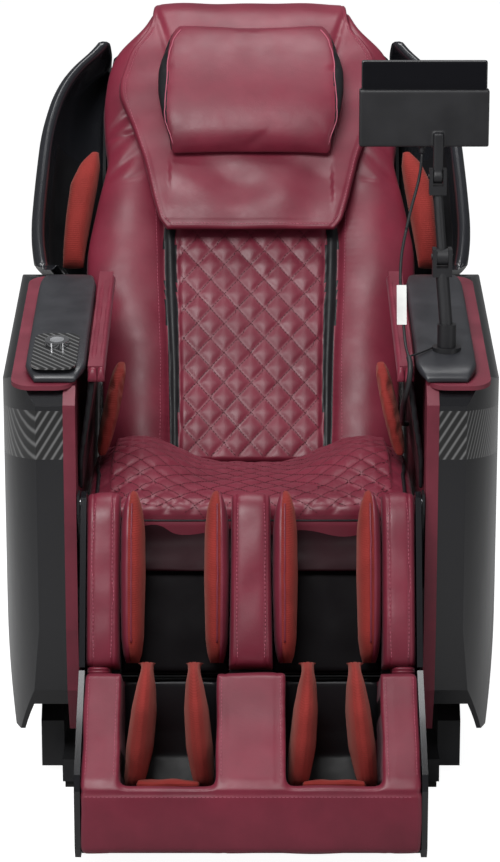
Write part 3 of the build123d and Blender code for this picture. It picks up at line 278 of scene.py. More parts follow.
NODE_LOOKS = {
    "base_side_rails": steel_black, "base_cross_tubes": steel_black, "base_covers": plastic_black,
    "base_feet": rubber_black, "power_box": plastic_black, "power_switch": plastic_black,
    "tilt_actuator": plastic_black, "tilt_rod": steel_bright, "wheel_left": rubber_black,
    "wheel_right": rubber_black, "seat_side_rails": steel_black, "seat_cross_tubes": steel_black,
    "side_shell_left": shell_gloss, "side_shell_right": shell_gloss, "side_bands": carbon_twill,
    "arm_trims": trim_burgundy, "control_panel": carbon_twill, "tablet_socket": plastic_black,
    "recline_actuator": plastic_black, "recline_rod": steel_bright, "legrest_actuator": plastic_black,
    "legrest_rod": steel_bright, "pivot_pins": steel_bright, "dial_ring": chrome, "dial_button": silver,
    "back_side_rails": steel_black, "back_cross_tubes": steel_black, "back_cover": shell_gloss,
    "roller_carriage": steel_black, "roller_arm_left": silver, "roller_arm_right": silver,
    "calf_shell": shell_gloss, "calf_frame": steel_black, "foot_shell": shell_gloss,
    "foot_rods": steel_bright, "arm_post": plastic_black, "arm_link": plastic_black,
    "tablet_cradle": plastic_black, "tablet": screen_glass, "cable_tag": tag_paper,
}
for node, look in NODE_LOOKS.items():
    mesh = frame["nodes"][node].data
    mesh.materials.clear()
    mesh.materials.append(look)


# ---------------------------------------------------------------- mesh helpers
def add_mesh(name, vertices, faces, materials, smooth=True):
    """A mesh object from points in millimetres."""
    mesh = bpy.data.meshes.new(name)
    mesh.from_pydata([tuple(c * MM for c in v) for v in vertices], [], faces)
    mesh.validate()
    for material in materials:
        mesh.materials.append(material)
    obj = bpy.data.objects.new(name, mesh)
    bpy.context.scene.collection.objects.link(obj)
    if smooth:
        mesh.shade_smooth()
    return obj


def smooth_path(points, count, rounds=3):
    """The points' line with its corners cut, as evenly spaced points."""
    line = np.array(points, float)
    for _ in range(rounds):
        near = 0.75 * line[:-1] + 0.25 * line[1:]
        far = 0.25 * line[:-1] + 0.75 * line[1:]
        middle = np.empty((2 * len(near), line.shape[1]))
        middle[0::2] = near
        middle[1::2] = far
        line = np.vstack([line[:1], middle, line[-1:]])
    steps = np.linalg.norm(np.diff(line, axis=0), axis=1)
    along = np.concatenate([[0], np.cumsum(steps)])
    wanted = np.linspace(0, along[-1], count)
    return np.stack([np.interp(wanted, along, line[:, i]) for i in range(line.shape[1])], axis=1)


def table(pairs):
    """A smooth function through the pairs of (position, value)."""
    xs, ys = zip(*sorted(pairs))
    fine = np.linspace(xs[0], xs[-1], 240)
    values = np.interp(fine, xs, ys)
    padded = np.pad(values, 9, mode="edge")
    kernel = np.hanning(19)
    values = np.convolve(padded, kernel / kernel.sum(), mode="valid")
    return lambda position: float(np.interp(position, fine, values))


def rounded(s, power):
    return max(0.0, 1 - abs(s) ** power) ** (1 / power)


def cushion(name, place, front, rear, left, right, materials, rows=60, cols=40, side_power=4.0,
            end_power=8.0, relief=None, zone=None):
    """A closed padded form between a front and a rear path of (a, b) points. left and right give its
    edges across at a place (a, b); relief pushes its front out; zone picks a face's material."""
    front = smooth_path(front, rows)
    rear = smooth_path(rear, rows)
    tangent = np.gradient(front, axis=0)
    normal = np.stack([-tangent[:, 1], tangent[:, 0]], axis=1)
    normal /= np.linalg.norm(normal, axis=1, keepdims=True)
    lengths = np.concatenate([[0], np.cumsum(np.linalg.norm(np.diff(front, axis=0), axis=1))])
    vertices, faces, zones = [], [], []
    index = {}
    for side in (0, 1):
        for i in range(rows):
            t = 2 * i / (rows - 1) - 1
            low, high = left(*front[i]), right(*front[i])
            end = rounded(t, end_power)
            centre = (front[i] + rear[i]) / 2
            for j in range(cols):
                c = 2 * j / (cols - 1) - 1
                s = 0.7 * c + 0.3 * math.sin(math.pi / 2 * c)
                x = (low + high) / 2 + (high - low) / 2 * s
                full = rounded(s, side_power) * end
                if side and (j in (0, cols - 1) or i in (0, rows - 1)):
                    index[1, i, j] = index[0, i, j]
                    continue
                target = (front if side == 0 else rear)[i]
                point = centre + (target - centre) * full
                if side == 0 and relief:
                    point = point + normal[i] * relief(x, lengths[i], *front[i], s) * full
                index[side, i, j] = len(vertices)
                vertices.append(place(x, *point))
    for side in (0, 1):
        for i in range(rows - 1):
            for j in range(cols - 1):
                corners = [
                    index[side, i, j], index[side, i, j + 1],
                    index[side, i + 1, j + 1], index[side, i + 1, j],
                ]
                faces.append(corners if side == 0 else corners[::-1])
                c = 2 * (j + 0.5) / (cols - 1) - 1
                s = 0.7 * c + 0.3 * math.sin(math.pi / 2 * c)
                x = (left(*front[i]) + right(*front[i])) / 2 + (right(*front[i]) - left(*front[i])) / 2 * s
                zones.append(zone(x, lengths[i], *front[i], s, side) if zone else 0)
    obj = add_mesh(name, vertices, faces, materials)
    for polygon, value in zip(obj.data.polygons, zones):
        polygon.material_index = value
    bpy.context.view_layer.objects.active = obj
    obj.data.update()
    return obj


def recalculate(obj):
    """Faces turned outwards."""
    import bmesh

    mesh = bmesh.new()
    mesh.from_mesh(obj.data)
    bmesh.ops.remove_doubles(mesh, verts=mesh.verts, dist=2e-5)
    bmesh.ops.recalc_face_normals(mesh, faces=mesh.faces)
    mesh.to_mesh(obj.data)
    mesh.free()
    obj.data.shade_smooth()


def from_node(name, node, voxel, rounds, materials, inset=0.0):
    """A CAD node's solid with its edges worn round: a voxel remesh, then smoothing."""
    source = frame["nodes"][node]
    obj = bpy.data.objects.new(name, source.data.copy())
    bpy.context.scene.collection.objects.link(obj)
    obj.data.materials.clear()
    for material in materials:
        obj.data.materials.append(material)
    add_modifiers(obj, [
        ("REMESH", {"mode": "VOXEL", "voxel_size": voxel * MM, "use_smooth_shade": True}),
        ("DISPLACE", {"strength": -inset * MM, "mid_level": 0.0}),
        ("SMOOTH", {"factor": 0.5, "iterations": rounds}),
    ])
    return obj


def add_modifiers(obj, stack):
    """Adds the modifiers and applies them in order."""
    for kind, settings in stack:
        modifier = obj.modifiers.new(kind.lower(), kind)
        for key, value in settings.items():
            setattr(modifier, key, value)
    bpy.context.view_layer.update()
    evaluated = obj.evaluated_get(bpy.context.evaluated_depsgraph_get())
    mesh = bpy.data.meshes.new_from_object(evaluated)
    obj.modifiers.clear()
    obj.data = mesh
    obj.data.shade_smooth()


def puff(obj, pressure, cap, voxel=6.0):
    """Cloth simulation of a stuffed piece: it swells under its own pressure, and no point moves further
    than the cap."""
    add_modifiers(obj, [("REMESH", {"mode": "VOXEL", "voxel_size": voxel * MM, "use_smooth_shade": True})])
    rest = np.array([v.co for v in obj.data.vertices])
    cloth = obj.modifiers.new("cloth", "CLOTH")
    cloth.settings.quality = 6
    cloth.settings.mass = 0.3
    cloth.settings.tension_stiffness = 25
    cloth.settings.compression_stiffness = 25
    cloth.settings.bending_stiffness = 1.5
    cloth.settings.use_pressure = True
    cloth.settings.uniform_pressure_force = pressure
    cloth.settings.effector_weights.gravity = 0
    cloth.point_cache.frame_start = 1
    cloth.point_cache.frame_end = 20
    for step in range(1, 21):
        bpy.context.scene.frame_set(step)
    evaluated = obj.evaluated_get(bpy.context.evaluated_depsgraph_get())
    moved = np.array([v.co for v in evaluated.data.vertices]) - rest
    obj.modifiers.clear()
    bpy.context.scene.frame_set(1)
    distance = np.linalg.norm(moved, axis=1, keepdims=True)
    limit = cap * MM
    moved *= np.tanh(distance / limit) * limit / np.maximum(distance, 1e-9)
    obj.data.vertices.foreach_set("co", (rest + moved).astype(np.float32).ravel())
    add_modifiers(obj, [("SMOOTH", {"factor": 0.5, "iterations": 2}), ("SUBSURF", {"levels": 1})])


def paint(obj, zone):
    """Sets each face's material from its centre in millimetres."""
    for polygon in obj.data.polygons:
        polygon.material_index = zone(*[c / MM for c in polygon.center])


def settle(obj, points, lift):
    """The points moved onto the object's surface, and the surface's normals there."""
    found = []
    for point in points:
        _, place, normal, _ = obj.closest_point_on_mesh(Vector(point) * MM)
        found.append((place + normal * lift * MM, normal))
    return found


def tube_mesh(points, radius, sides=8):
    """Vertices and faces, in metres, of a tube along points, with closed ends."""
    vertices, faces = [], []
    up = Vector((0.3, 0.2, 0.93))
    for i, point in enumerate(points):
        direction = points[min(i + 1, len(points) - 1)] - points[max(i - 1, 0)]
        side = direction.cross(up).normalized()
        over = side.cross(direction).normalized()
        for k in range(sides):
            turn = 2 * math.pi * k / sides
            vertices.append(point + (side * math.cos(turn) + over * math.sin(turn)) * radius)
    for i in range(len(points) - 1):
        for k in range(sides):
            after = (k + 1) % sides
            faces.append((i * sides + k, i * sides + after, (i + 1) * sides + after, (i + 1) * sides + k))
    faces.append(tuple(range(sides))[::-1])
    last = (len(points) - 1) * sides
    faces.append(tuple(last + k for k in range(sides)))
    return vertices, faces


def join_meshes(name, parts, material):
    """One object from several (vertices, faces) in metres."""
    vertices, faces = [], []
    for part_vertices, part_faces in parts:
        offset = len(vertices)
        vertices += [tuple(v) for v in part_vertices]
        faces += [tuple(i + offset for i in face) for face in part_faces]
    mesh = bpy.data.meshes.new(name)
    mesh.from_pydata(vertices, [], faces)
    mesh.materials.append(material)
    mesh.shade_smooth()
    obj = bpy.data.objects.new(name, mesh)
    bpy.context.scene.collection.objects.link(obj)
    return obj


def welt(name, lines, target, material, body, radius=1.6, lift=0.4):
    """Piping laid along lines on the target's surface."""
    parts = []
    for line in lines:
        count = max(8, int(path_length(line) / 8))
        on_surface = settle(target, smooth_path(line, count, rounds=2), lift)
        parts.append(tube_mesh([place for place, _ in on_surface], radius * MM, 8))
    obj = join_meshes(name, parts, material)
    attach(obj, body)
    return obj


def path_length(line):
    return float(np.linalg.norm(np.diff(np.array(line, float), axis=0), axis=1).sum())


STITCH_PITCH = 6.5
STITCH_LENGTH = 4.4


def stitches(name, lines, target, material, body, radius=0.55):
    """Rows of single stitches laid along lines on the target's surface."""
    parts = []
    for line in lines:
        count = max(3, int(path_length(line) / STITCH_PITCH))
        on_surface = settle(target, smooth_path(line, count, rounds=2), 0.25)
        for (start, _), (end, _) in zip(on_surface, on_surface[1:]):
            reach = (end - start) * (STITCH_LENGTH / STITCH_PITCH)
            if reach.length > 1e-4:
                parts.append(tube_mesh([start, start + reach * 0.5, start + reach], radius * MM, 5))
    obj = join_meshes(name, parts, material)
    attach(obj, body)
    return obj


def finish_soft(obj, body, slot, *nodes, fill=0.8):
    """Sets a padded piece to ride on a body and hides the CAD nodes that it stands for."""
    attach(obj, body)
    if nodes:
        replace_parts(obj, *nodes)
    return obj


def wave(x, y, scale, seed):
    """Smooth made-up unevenness from -1 to 1."""
    total = 0.0
    for k in range(1, 4):
        turn = seed * 1.7 + k * 2.1
        distance = x * math.cos(turn) + y * math.sin(turn)
        total += math.sin(distance * 2 * math.pi / scale * (0.6 + 0.37 * k) + seed + k)
    return total / 3


def quilt(x, y, wide, tall, depth):
    """Height of a diamond-quilted surface."""
    first = abs(math.sin(math.pi * (x / wide + y / tall)))
    second = abs(math.sin(math.pi * (x / wide - y / tall)))
    return depth * (min(first, second) ** 0.55 - 1)


def groove(distance, width, depth):
    return -depth * math.exp(-(distance / width) ** 2)


def pucker(along, distance, depth=0.8, pitch=13.0, reach=14.0):
    """Small gathers that die out away from a seam."""
    return depth * math.sin(2 * math.pi * along / pitch) * math.exp(-abs(distance) / reach)


# ---------------------------------------------------------------- back rest
DIAMOND = (49.0, 57.0)
back_half = table([
    (20, 262), (100, 268), (330, 278), (372, 303), (440, 303), (539, 284), (616, 266), (660, 272), (730, 277),
    (790, 270), (830, 258), (850, 244), (874, 214), (905, 196), (935, 188), (940, 188),
])


def strip_inner(a):
    return 131 + 10 * max(0.0, (a - 200) / 300)


def back_relief(x, along, a, b, s):
    half = abs(x)
    inner = strip_inner(a)
    outer = inner + 14 + 8 * min(1.0, max(0.0, (a - 40) / 300))
    lump = 0.0
    if a < 480 and half < inner:
        lump += quilt(x, a, *DIAMOND, 4.6)
    lump += groove(half - inner, 4.5, 5.0) + groove(half - outer, 6.0, 6.0)
    if half > outer:
        rise = (half - outer) / (back_half(a) - outer)
        lump += 17 * math.sin(math.pi * min(1.0, rise * 0.95)) ** 0.8
        lump += pucker(a, half - outer, 0.9)
        lump += 2.2 * wave(x, a, 170, 3)
    if 560 < a < 700 and half > 190:
        fold = math.sin((a - 560) / 140 * math.pi * 3 + (half - 190) * 0.05)
        lump += -4.5 * abs(fold) ** 3 * min(1.0, (half - 190) / 40)
    lump += groove(a - 655, 6, 5) * min(1.0, max(0.0, (half - 200) / 30))
    return lump


def back_zone(x, along, a, b, s, side):
    inner = strip_inner(a)
    outer = inner + 14 + 8 * min(1.0, max(0.0, (a - 40) / 300))
    if side:
        return 1
    return 1 if a < 470 and inner < abs(x) < outer else 0


back_cushion = cushion(
    "back_cushion_look", back,
    [(22, 84), (200, 84), (500, 84), (760, 83), (840, 80), (880, 70), (912, 46), (930, 14), (932, -20)],
    [(24, 26), (200, 26), (500, 26), (760, 26), (830, 26), (850, 24), (880, 6), (900, -8), (908, -20)],
    lambda a, b: -back_half(a), lambda a, b: back_half(a), [red_leather, black_leather],
    rows=210, cols=150, side_power=5.0, end_power=14.0, relief=back_relief, zone=back_zone,
)
recalculate(back_cushion)
finish_soft(back_cushion, "back", "leather_red", "back_cushion", fill=0.85)

quilt_lines = []
for direction in (1, -1):
    for k in range(-14, 16):
        line = []
        for step in range(0, 90):
            a = 30 + step * 5
            x = direction * (k - a / DIAMOND[1]) * DIAMOND[0]
            if abs(x) < strip_inner(a) - 4:
                line.append(back(x, a, 84))
        if len(line) > 3:
            quilt_lines.append(line)
stitches("back_quilt_stitches", quilt_lines, back_cushion, dark_thread, "back", radius=0.6)
side_rows = [[back(side * (strip_inner(a) + 34), a, 90) for a in range(40, 640, 20)] for side in (-1, 1)]
stitches("back_side_stitches", side_rows, back_cushion, thread, "back")

# ---------------------------------------------------------------- head flap and pillow
flap_half = table([
    (455, 150), (466, 166), (515, 180), (594, 198), (664, 221), (724, 245), (752, 246), (815, 228), (862, 196),
    (890, 186), (925, 184), (946, 182),
])


def flap_relief(x, along, a, b, s):
    lump = 2.6 * wave(x, a, 150, 1) + groove(abs(x) - flap_half(a) + 9, 2.0, 1.4) + groove(a - 465, 2.0, 1.4)
    if a < 600:
        fold = math.sin(x / 27 + 0.6 * math.sin(a / 30))
        lump += 5.0 * fold * math.exp(-((a - 545) / 42) ** 2) * (abs(x) < 150)
    if a > 800:
        edge = 150 + 0.9 * (a - 800) * 0.3
        lump += groove(abs(x) - edge, 7, 5)
    return lump


# The head flap's back takes the darkened burgundy leather: painted shade.
head_flap = cushion(
    "head_flap_look", back,
    [(452, 128), (520, 134), (650, 127), (760, 117), (850, 108), (895, 97), (925, 74), (944, 40), (946, 6)],
    [(453, 118), (520, 112), (650, 101), (760, 92), (850, 88), (888, 82), (916, 62), (934, 34), (938, 6)],
    lambda a, b: -flap_half(a), lambda a, b: flap_half(a) * (1.0 if a < 850 else 0.98),
    [red_leather, red_leather_painted_shade], rows=120, cols=96, side_power=7.0, end_power=22.0, relief=flap_relief,
    zone=lambda x, along, a, b, s, side: side,
)
recalculate(head_flap)
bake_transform(head_flap)
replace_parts(head_flap, "head_flap")
flap_edge = [(-(flap_half(a) - 7), a) for a in range(880, 470, -15)]
flap_edge += [(x, 463) for x in range(-150, 160, 15)] + [(flap_half(a) - 7, a) for a in range(480, 890, 15)]
stitches("head_flap_stitches", [[back(x, a, 135) for x, a in flap_edge]], head_flap, thread, "head_flap")

pillow_half = table([
    (588, 152), (620, 158), (660, 169), (710, 177), (760, 176), (810, 164), (850, 150), (866, 143),
])


def gusset_width(a):
    """The pillow's black side panel, widest at the middle of its height."""
    return 8 + 16 * math.exp(-((a - 730) / 70) ** 2)


pillow = cushion(
    "head_pillow_look", back,
    [(586, 140), (600, 158), (640, 170), (700, 173), (760, 166), (810, 154), (850, 134), (868, 116)],
    [(590, 136), (600, 136), (640, 134), (700, 130), (760, 123), (810, 118), (850, 112), (866, 112)],
    lambda a, b: -pillow_half(a), lambda a, b: pillow_half(a), [red_leather, black_leather],
    rows=60, cols=60, side_power=5.0, end_power=6.0,
)
recalculate(pillow)
puff(pillow, 3.0, 7.0)


def pillow_zone(x, y, z):
    a = (y - 155) * math.sin(LEAN) + (z - 390) * math.cos(LEAN)
    return 1 if abs(x) > pillow_half(a) - gusset_width(a) else 0


paint(pillow, pillow_zone)
finish_soft(pillow, "head_flap", "leather_red", "head_pillow", fill=0.9)
gusset = [[back(side * (pillow_half(a) - gusset_width(a)), a, 165) for a in range(600, 865, 12)]
          for side in (-1, 1)]
welt("pillow_piping", gusset, pillow, thread, "head_flap", radius=1.1)

# ---------------------------------------------------------------- wings
WING_EDGE = table([
    (296, 374), (345, 388), (390, 397), (439, 402), (540, 397), (647, 389), (734, 368), (788, 336), (821, 304),
    (842, 272),
])


def wing_outer(a):
    """The wing's outer edge, with its corners worn round."""
    return sum(WING_EDGE(a + step) for step in (-30, -15, 0, 15, 30)) / 5


WING_ROOT = table([(296, 283), (734, 283), (788, 276), (842, 262)])


def wing_front(a):
    return 175 - 0.177 * (a - 380)


def wing_section(a):
    """Across and forward points round a wing at a height up the back."""
    outer, front = wing_outer(a), wing_front(a)
    root = min(WING_ROOT(a), outer - 6)
    reach = outer - root
    return [
        (root, -108), (root + 0.5 * reach, -76), (outer - 8, 8), (outer + 2, 0.55 * front), (outer, front - 6),
        (outer - 5, front), (outer - 12, front + 3), (outer - 20, front), (outer - 24, front - 9),
        (outer - 25, 0.6 * front), (max(root, outer - 36), 24), (root + 0.35 * reach - 4, -40), (root, -62),
    ]


def clear_of_hinge(a, b, radius):
    """The point moved out to the radius round the recline hinge if it is nearer."""
    distance = math.hypot(a, b)
    return (a, b) if distance >= radius else (a * radius / distance, b * radius / distance)


WING_ROWS = 64
HINGE_CLEARANCE = 402
SECTION_POINTS = 44
GLOSS_FROM = 640


def wing(name, side):
    vertices, faces = [], []
    heights = np.linspace(300, 840, WING_ROWS)
    for a in heights:
        for x, b in smooth_path([(px, pb) for px, pb in wing_section(a)], SECTION_POINTS, rounds=2):
            up, out = clear_of_hinge(a, b, HINGE_CLEARANCE)
            vertices.append(back(side * x, up, out))
    for i in range(WING_ROWS - 1):
        for j in range(SECTION_POINTS):
            after = (j + 1) % SECTION_POINTS
            faces.append((i * SECTION_POINTS + j, i * SECTION_POINTS + after,
                          (i + 1) * SECTION_POINTS + after, (i + 1) * SECTION_POINTS + j))
    for first in (0, (WING_ROWS - 1) * SECTION_POINTS):
        for j in range(SECTION_POINTS // 2 - 1):
            across = first + SECTION_POINTS - 1 - j
            faces.append((first + j, first + j + 1, across - 1, across))
    obj = add_mesh(name, vertices, faces, [wing_gloss, plastic_black])
    for polygon in obj.data.polygons[: (WING_ROWS - 1) * SECTION_POINTS]:
        inside = polygon.index % SECTION_POINTS > SECTION_POINTS * 0.66
        if inside and heights[polygon.index // SECTION_POINTS] < GLOSS_FROM:
            polygon.material_index = 1
    recalculate(obj)
    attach(obj, "back")
    return obj


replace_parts(wing("wing_left_look", 1), "wing_left")
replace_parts(wing("wing_right_look", -1), "wing_right")


def in_outline(outline):
    """Inner and outer edges across, by height, of a closed outline given as (height, inner, outer)."""
    inner = table([(a, low) for a, low, _ in outline])
    outer = table([(a, high) for a, _, high in outline])
    return inner, outer


BAG_OUTLINE = [
    (345, 318, 344), (378, 312, 347), (430, 306, 347), (494, 296, 343), (557, 286, 336), (600, 281, 318),
    (626, 284, 296),
]
bag_inner, bag_outer = in_outline(BAG_OUTLINE)
bags = []
for side, label in ((1, "left"), (-1, "right")):
    edges = (lambda a, b: bag_inner(a), lambda a, b: bag_outer(a))
    if side < 0:
        edges = (lambda a, b: -bag_outer(a), lambda a, b: -bag_inner(a))
    bag = cushion(
        f"shoulder_airbag_{label}", back, [(400, 95), (450, 108), (540, 108), (600, 98), (628, 86)],
        [(400, 30), (450, 28), (540, 28), (600, 30), (628, 40)], *edges, [airbag_fabric],
        rows=50, cols=22, side_power=2.6, end_power=4.0,
    )
    recalculate(bag)
    finish_soft(bag, "back", "airbag_fabric", fill=0.7)
    bags.append(bag)
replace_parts(bags[0], "shoulder_airbags")

# ---------------------------------------------------------------- seat
SEAT_DIAMOND = (47.0, 57.0)
seat_front = [
    (-338, 392), (-349, 420), (-350, 470), (-346, 496), (-330, 506), (-300, 509), (-200, 503), (-60, 486),
    (62, 466), (88, 440),
]
seat_rear = [
    (-332, 392), (-325, 392), (-315, 391), (-300, 390), (-280, 390), (-240, 389), (-160, 388), (-60, 388),
    (40, 388), (78, 392),
]


SEAT_PIPING = 84.0


def smooth_step(t):
    t = min(1.0, max(0.0, t))
    return t * t * (3 - 2 * t)


def seat_lift(x):
    """The seat is a shallow hammock: its sides stand higher than its middle."""
    return 48 * smooth_step((abs(x) - 50) / 150)


def seat_relief(x, along, a, b, s):
    lump = quilt(x, along + 12, *SEAT_DIAMOND, 4.4) * smooth_step((along - SEAT_PIPING) / 16)
    lump += groove(along - SEAT_PIPING, 4, 3)
    deep = smooth_step((a + 330) / 220)
    lump += seat_lift(x) * deep * min(1.0, max(0.0, (100 - a) / 28)) + 1.5 * wave(x, along, 190, 5)
    if abs(x) > 238:
        lump *= 0.7
    return lump


seat_cushion = cushion(
    "seat_cushion_look", world, seat_front, seat_rear, lambda a, b: -276, lambda a, b: 276,
    [red_leather, black_leather], rows=130, cols=140, side_power=6.0, end_power=16.0, relief=seat_relief,
    zone=lambda x, along, a, b, s, side: 1 if side else 0,
)
recalculate(seat_cushion)
finish_soft(seat_cushion, "seat", "leather_red", "seat_cushion", fill=0.85)
seat_lines = []
seat_path = smooth_path(seat_front, 160)
seat_along = np.concatenate([[0], np.cumsum(np.linalg.norm(np.diff(seat_path, axis=0), axis=1))])
for direction in (1, -1):
    for k in range(-20, 24):
        line = []
        for (y, z), along in zip(seat_path[24:140], seat_along[24:140]):
            x = direction * (k - (along + 12) / SEAT_DIAMOND[1]) * SEAT_DIAMOND[0]
            if abs(x) < 256:
                line.append((x, y, z + seat_lift(x) * 0.8))
        if len(line) > 4:
            seat_lines.append(line)
stitches("seat_quilt_stitches", seat_lines, seat_cushion, dark_thread, "seat", radius=0.6)
front_piping = [(x, -352, 474) for x in range(-262, 266, 12)]
welt("seat_front_piping", [front_piping], seat_cushion, black_leather, "seat", radius=1.6)
welt("seat_piping", [[(side * 268, y, z + 20) for y, z in seat_path[20:120:6]] for side in (-1, 1)],
     seat_cushion, black_leather, "seat", radius=3.4, lift=1.0)


# ---------------------------------------------------------------- arms
def arm_pad(name, sign):
    middle = sign * 321
    outline = table([(16, 30), (30, 41), (60, 50), (440, 50), (480, 44), (502, 32)])
    obj = cushion(
        name, arm, [(18, 12), (30, 24), (60, 29), (240, 30.5), (440, 29), (490, 24), (502, 12)],
        [(18, 8.5), (30, 8.4), (60, 8.3), (240, 8.3), (440, 8.3), (490, 8.4), (502, 8.5)],
        lambda a, b: middle - outline(a), lambda a, b: middle + outline(a), [pad_satin],
        rows=70, cols=30, side_power=6.0, end_power=30.0,
    )
    recalculate(obj)
    return obj


finish_soft(arm_pad("arm_pad_left_look", 1), "seat", "pad_satin", "arm_pad_left", fill=0.9)
finish_soft(arm_pad("arm_pad_right_look", -1), "seat", "pad_satin", "arm_pad_right", fill=0.9)

for sign, label in ((1, "left"), (-1, "right")):
    for k, (inner, outer) in enumerate(((240, 252.5), (252.5, 268))):
        edges = sorted((sign * inner, sign * outer))
        rim = cushion(
            f"arm_rim_{label}_{k}", arm, [(46, 2), (50, 16), (60, 23), (280, 23.5), (480, 23), (505, 14)],
            [(46, -3), (60, -4), (80, -4), (280, -4), (480, -4), (505, -2)],
            lambda a, b, low=edges[0]: low, lambda a, b, high=edges[1]: high, [red_leather],
            rows=90, cols=14, side_power=2.4, end_power=30.0,
            relief=lambda x, along, a, b, s: 0.9 * wave(x, a, 90, 7) + pucker(a, 4, 0.5),
        )
        recalculate(rim)
        finish_soft(rim, "seat", "leather_red", fill=0.9)

for node, look in (("tablet", screen_glass), ("tablet_cradle", plastic_black)):
    worn = from_node(f"{node}_look", node, 1.8, 9, [look])
    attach(worn, "tablet_head")
    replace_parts(worn, node)

walls = from_node("arm_walls_look", "arm_walls", 3.5, 4, [black_leather])
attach(walls, "seat")
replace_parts(walls, "arm_walls")

hips = from_node("hip_airbags_look", "hip_airbags", 3.0, 8, [airbag_fabric])
puff(hips, 2.5, 5.0, voxel=5.0)
finish_soft(hips, "seat", "airbag_fabric", "hip_airbags", fill=0.7)

# ---------------------------------------------------------------- leg rest
CALF_FRONT = [(-272, 14), (-262, 24), (-200, 26), (-100, 27), (-30, 26), (0, 18), (14, 2), (16, -14)]
CALF_REAR = [(-273, -84), (-262, -84), (-200, -84), (-150, -84), (-90, -82), (-60, -62), (-20, -22), (0, -16)]


def bolster_relief(low, high):
    def relief(x, along, a, b, s):
        edge = min(x - low, high - x)
        lump = groove(edge - 11, 1.8, 1.6) + pucker(a, edge - 11, 0.25, reach=3.0)
        lump += 1.3 * wave(x, a, 110, low * 0.01)
        return lump + 3.0 * rounded(s, 2)
    return relief


for name, low, high in (("left", 214, 269), ("middle", -36, 36), ("right", -269, -214)):
    bolster = cushion(
        f"calf_bolster_{name}", calf, CALF_FRONT, CALF_REAR,
        lambda a, b, low=low, high=high: low + (4 if name == "middle" else 0) * max(0.0, (a + 270) / 280),
        lambda a, b, low=low, high=high: high - (4 if name == "middle" else 0) * max(0.0, (a + 270) / 280),
        [red_leather, black_leather], rows=90, cols=36, side_power=5.0, end_power=10.0,
        relief=bolster_relief(low, high),
        zone=lambda x, along, a, b, s, side: 1 if side else 0,
    )
    recalculate(bolster)
    finish_soft(bolster, "calf", "leather_red", *(["calf_bolsters"] if name == "middle" else []), fill=0.85)
    rows = [[calf(edge, a, 30) for a in range(-262, 6, 12)] for edge in (low + 10, high - 10)]
    stitches(f"calf_stitches_{name}", rows, bolster, thread, "calf")

# Channel floors between the calf bolsters: black leather darkened further as painted shade.
for side in (-1, 1):
    low, high = sorted((side * 36, side * 214))
    channel = cushion(
        f"calf_channel_{'left' if side > 0 else 'right'}", calf,
        [(-273, -74), (-200, -69), (-110, -69), (-84, -72), (-78, -76)],
        [(-273, -83), (-200, -83.5), (-110, -83.5), (-84, -83.5), (-78, -80)],
        lambda a, b, low=low: low, lambda a, b, high=high: high, [channel_leather_painted_shade], rows=40, cols=30,
        side_power=8.0, end_power=8.0, relief=lambda x, along, a, b, s: 1.2 * wave(x, a, 90, 2),
    )
    recalculate(channel)
    finish_soft(channel, "calf", "leather_black", fill=0.6)

BAG_FRONT = [(-262, -20), (-252, 8), (-215, 28), (-120, 36), (-30, 34), (8, 24), (22, 4), (24, -8)]
BAG_REAR = [(-262, -40), (-252, -66), (-215, -67), (-140, -67), (-72, -66), (-46, -48), (-14, -18), (6, -12)]
bag_width = table([(-262, 10), (-250, 15), (-225, 18.5), (-120, 21), (-40, 20), (-6, 17), (14, 12), (24, 7)])
calf_bags = []
for side in (-1, 1):
    for middle, label in ((56, "inner"), (194, "outer")):
        lean = -1 if label == "inner" else 1
        bag = cushion(
            f"calf_airbag_{'left' if side > 0 else 'right'}_{label}", calf, BAG_FRONT, BAG_REAR,
            lambda a, b, m=side * middle: m - bag_width(a), lambda a, b, m=side * middle: m + bag_width(a),
            [airbag_fabric, red_leather], rows=80, cols=26, side_power=2.3, end_power=5.0,
            relief=lambda x, along, a, b, s, lean=side * lean: (
                0.8 * wave(x, a, 60, 4) + groove(s - 0.3 * lean, 0.1, 3)
            ),
            zone=lambda x, along, a, b, s, back_side, lean=side * lean: 1 if s * lean > 0.3 else 0,
        )
        recalculate(bag)
        finish_soft(bag, "calf", "airbag_fabric", fill=0.75)
        calf_bags.append(bag)
        rim_line = [calf(side * (middle + lean * 0.3 * bag_width(a)), a, 60) for a in range(-256, 20, 12)]
        welt(f"calf_airbag_seam_{'left' if side > 0 else 'right'}_{label}", [rim_line], bag, red_leather,
             "calf", radius=1.5)
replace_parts(calf_bags[0], "calf_airbags")

# ---------------------------------------------------------------- foot unit
foot = from_node("foot_cushion_look", "foot_cushion", 5.0, 7, [red_leather, black_leather], inset=0.5)
FOOT_SEAM_Z = 141.0
WELL = (56.0, 208.0)


def shape_foot(obj):
    """Seam grooves, a crown on the front panel and slight unevenness."""
    normals = [v.normal.copy() for v in obj.data.vertices]
    for vertex, normal in zip(obj.data.vertices, normals):
        x, y, z = [c / MM for c in vertex.co]
        lump = 1.4 * wave(x, z + 0.5 * y, 150, 6)
        on_front = normal.y < -0.6 and z < 150
        lump += groove(z - FOOT_SEAM_Z, 3.0, 2.6) if y < -700 else 0
        if on_front:
            lump += 5.0 * rounded(x / 272, 6) * math.sin(math.pi * min(1, max(0, (z - 40) / 100)))
        if not on_front and y > -725:
            for seam in (WELL[0] - 12, WELL[1] + 12):
                lump += groove(abs(x) - seam, 2.2, 1.6)
        vertex.co = vertex.co + normal * lump * MM
    obj.data.update()


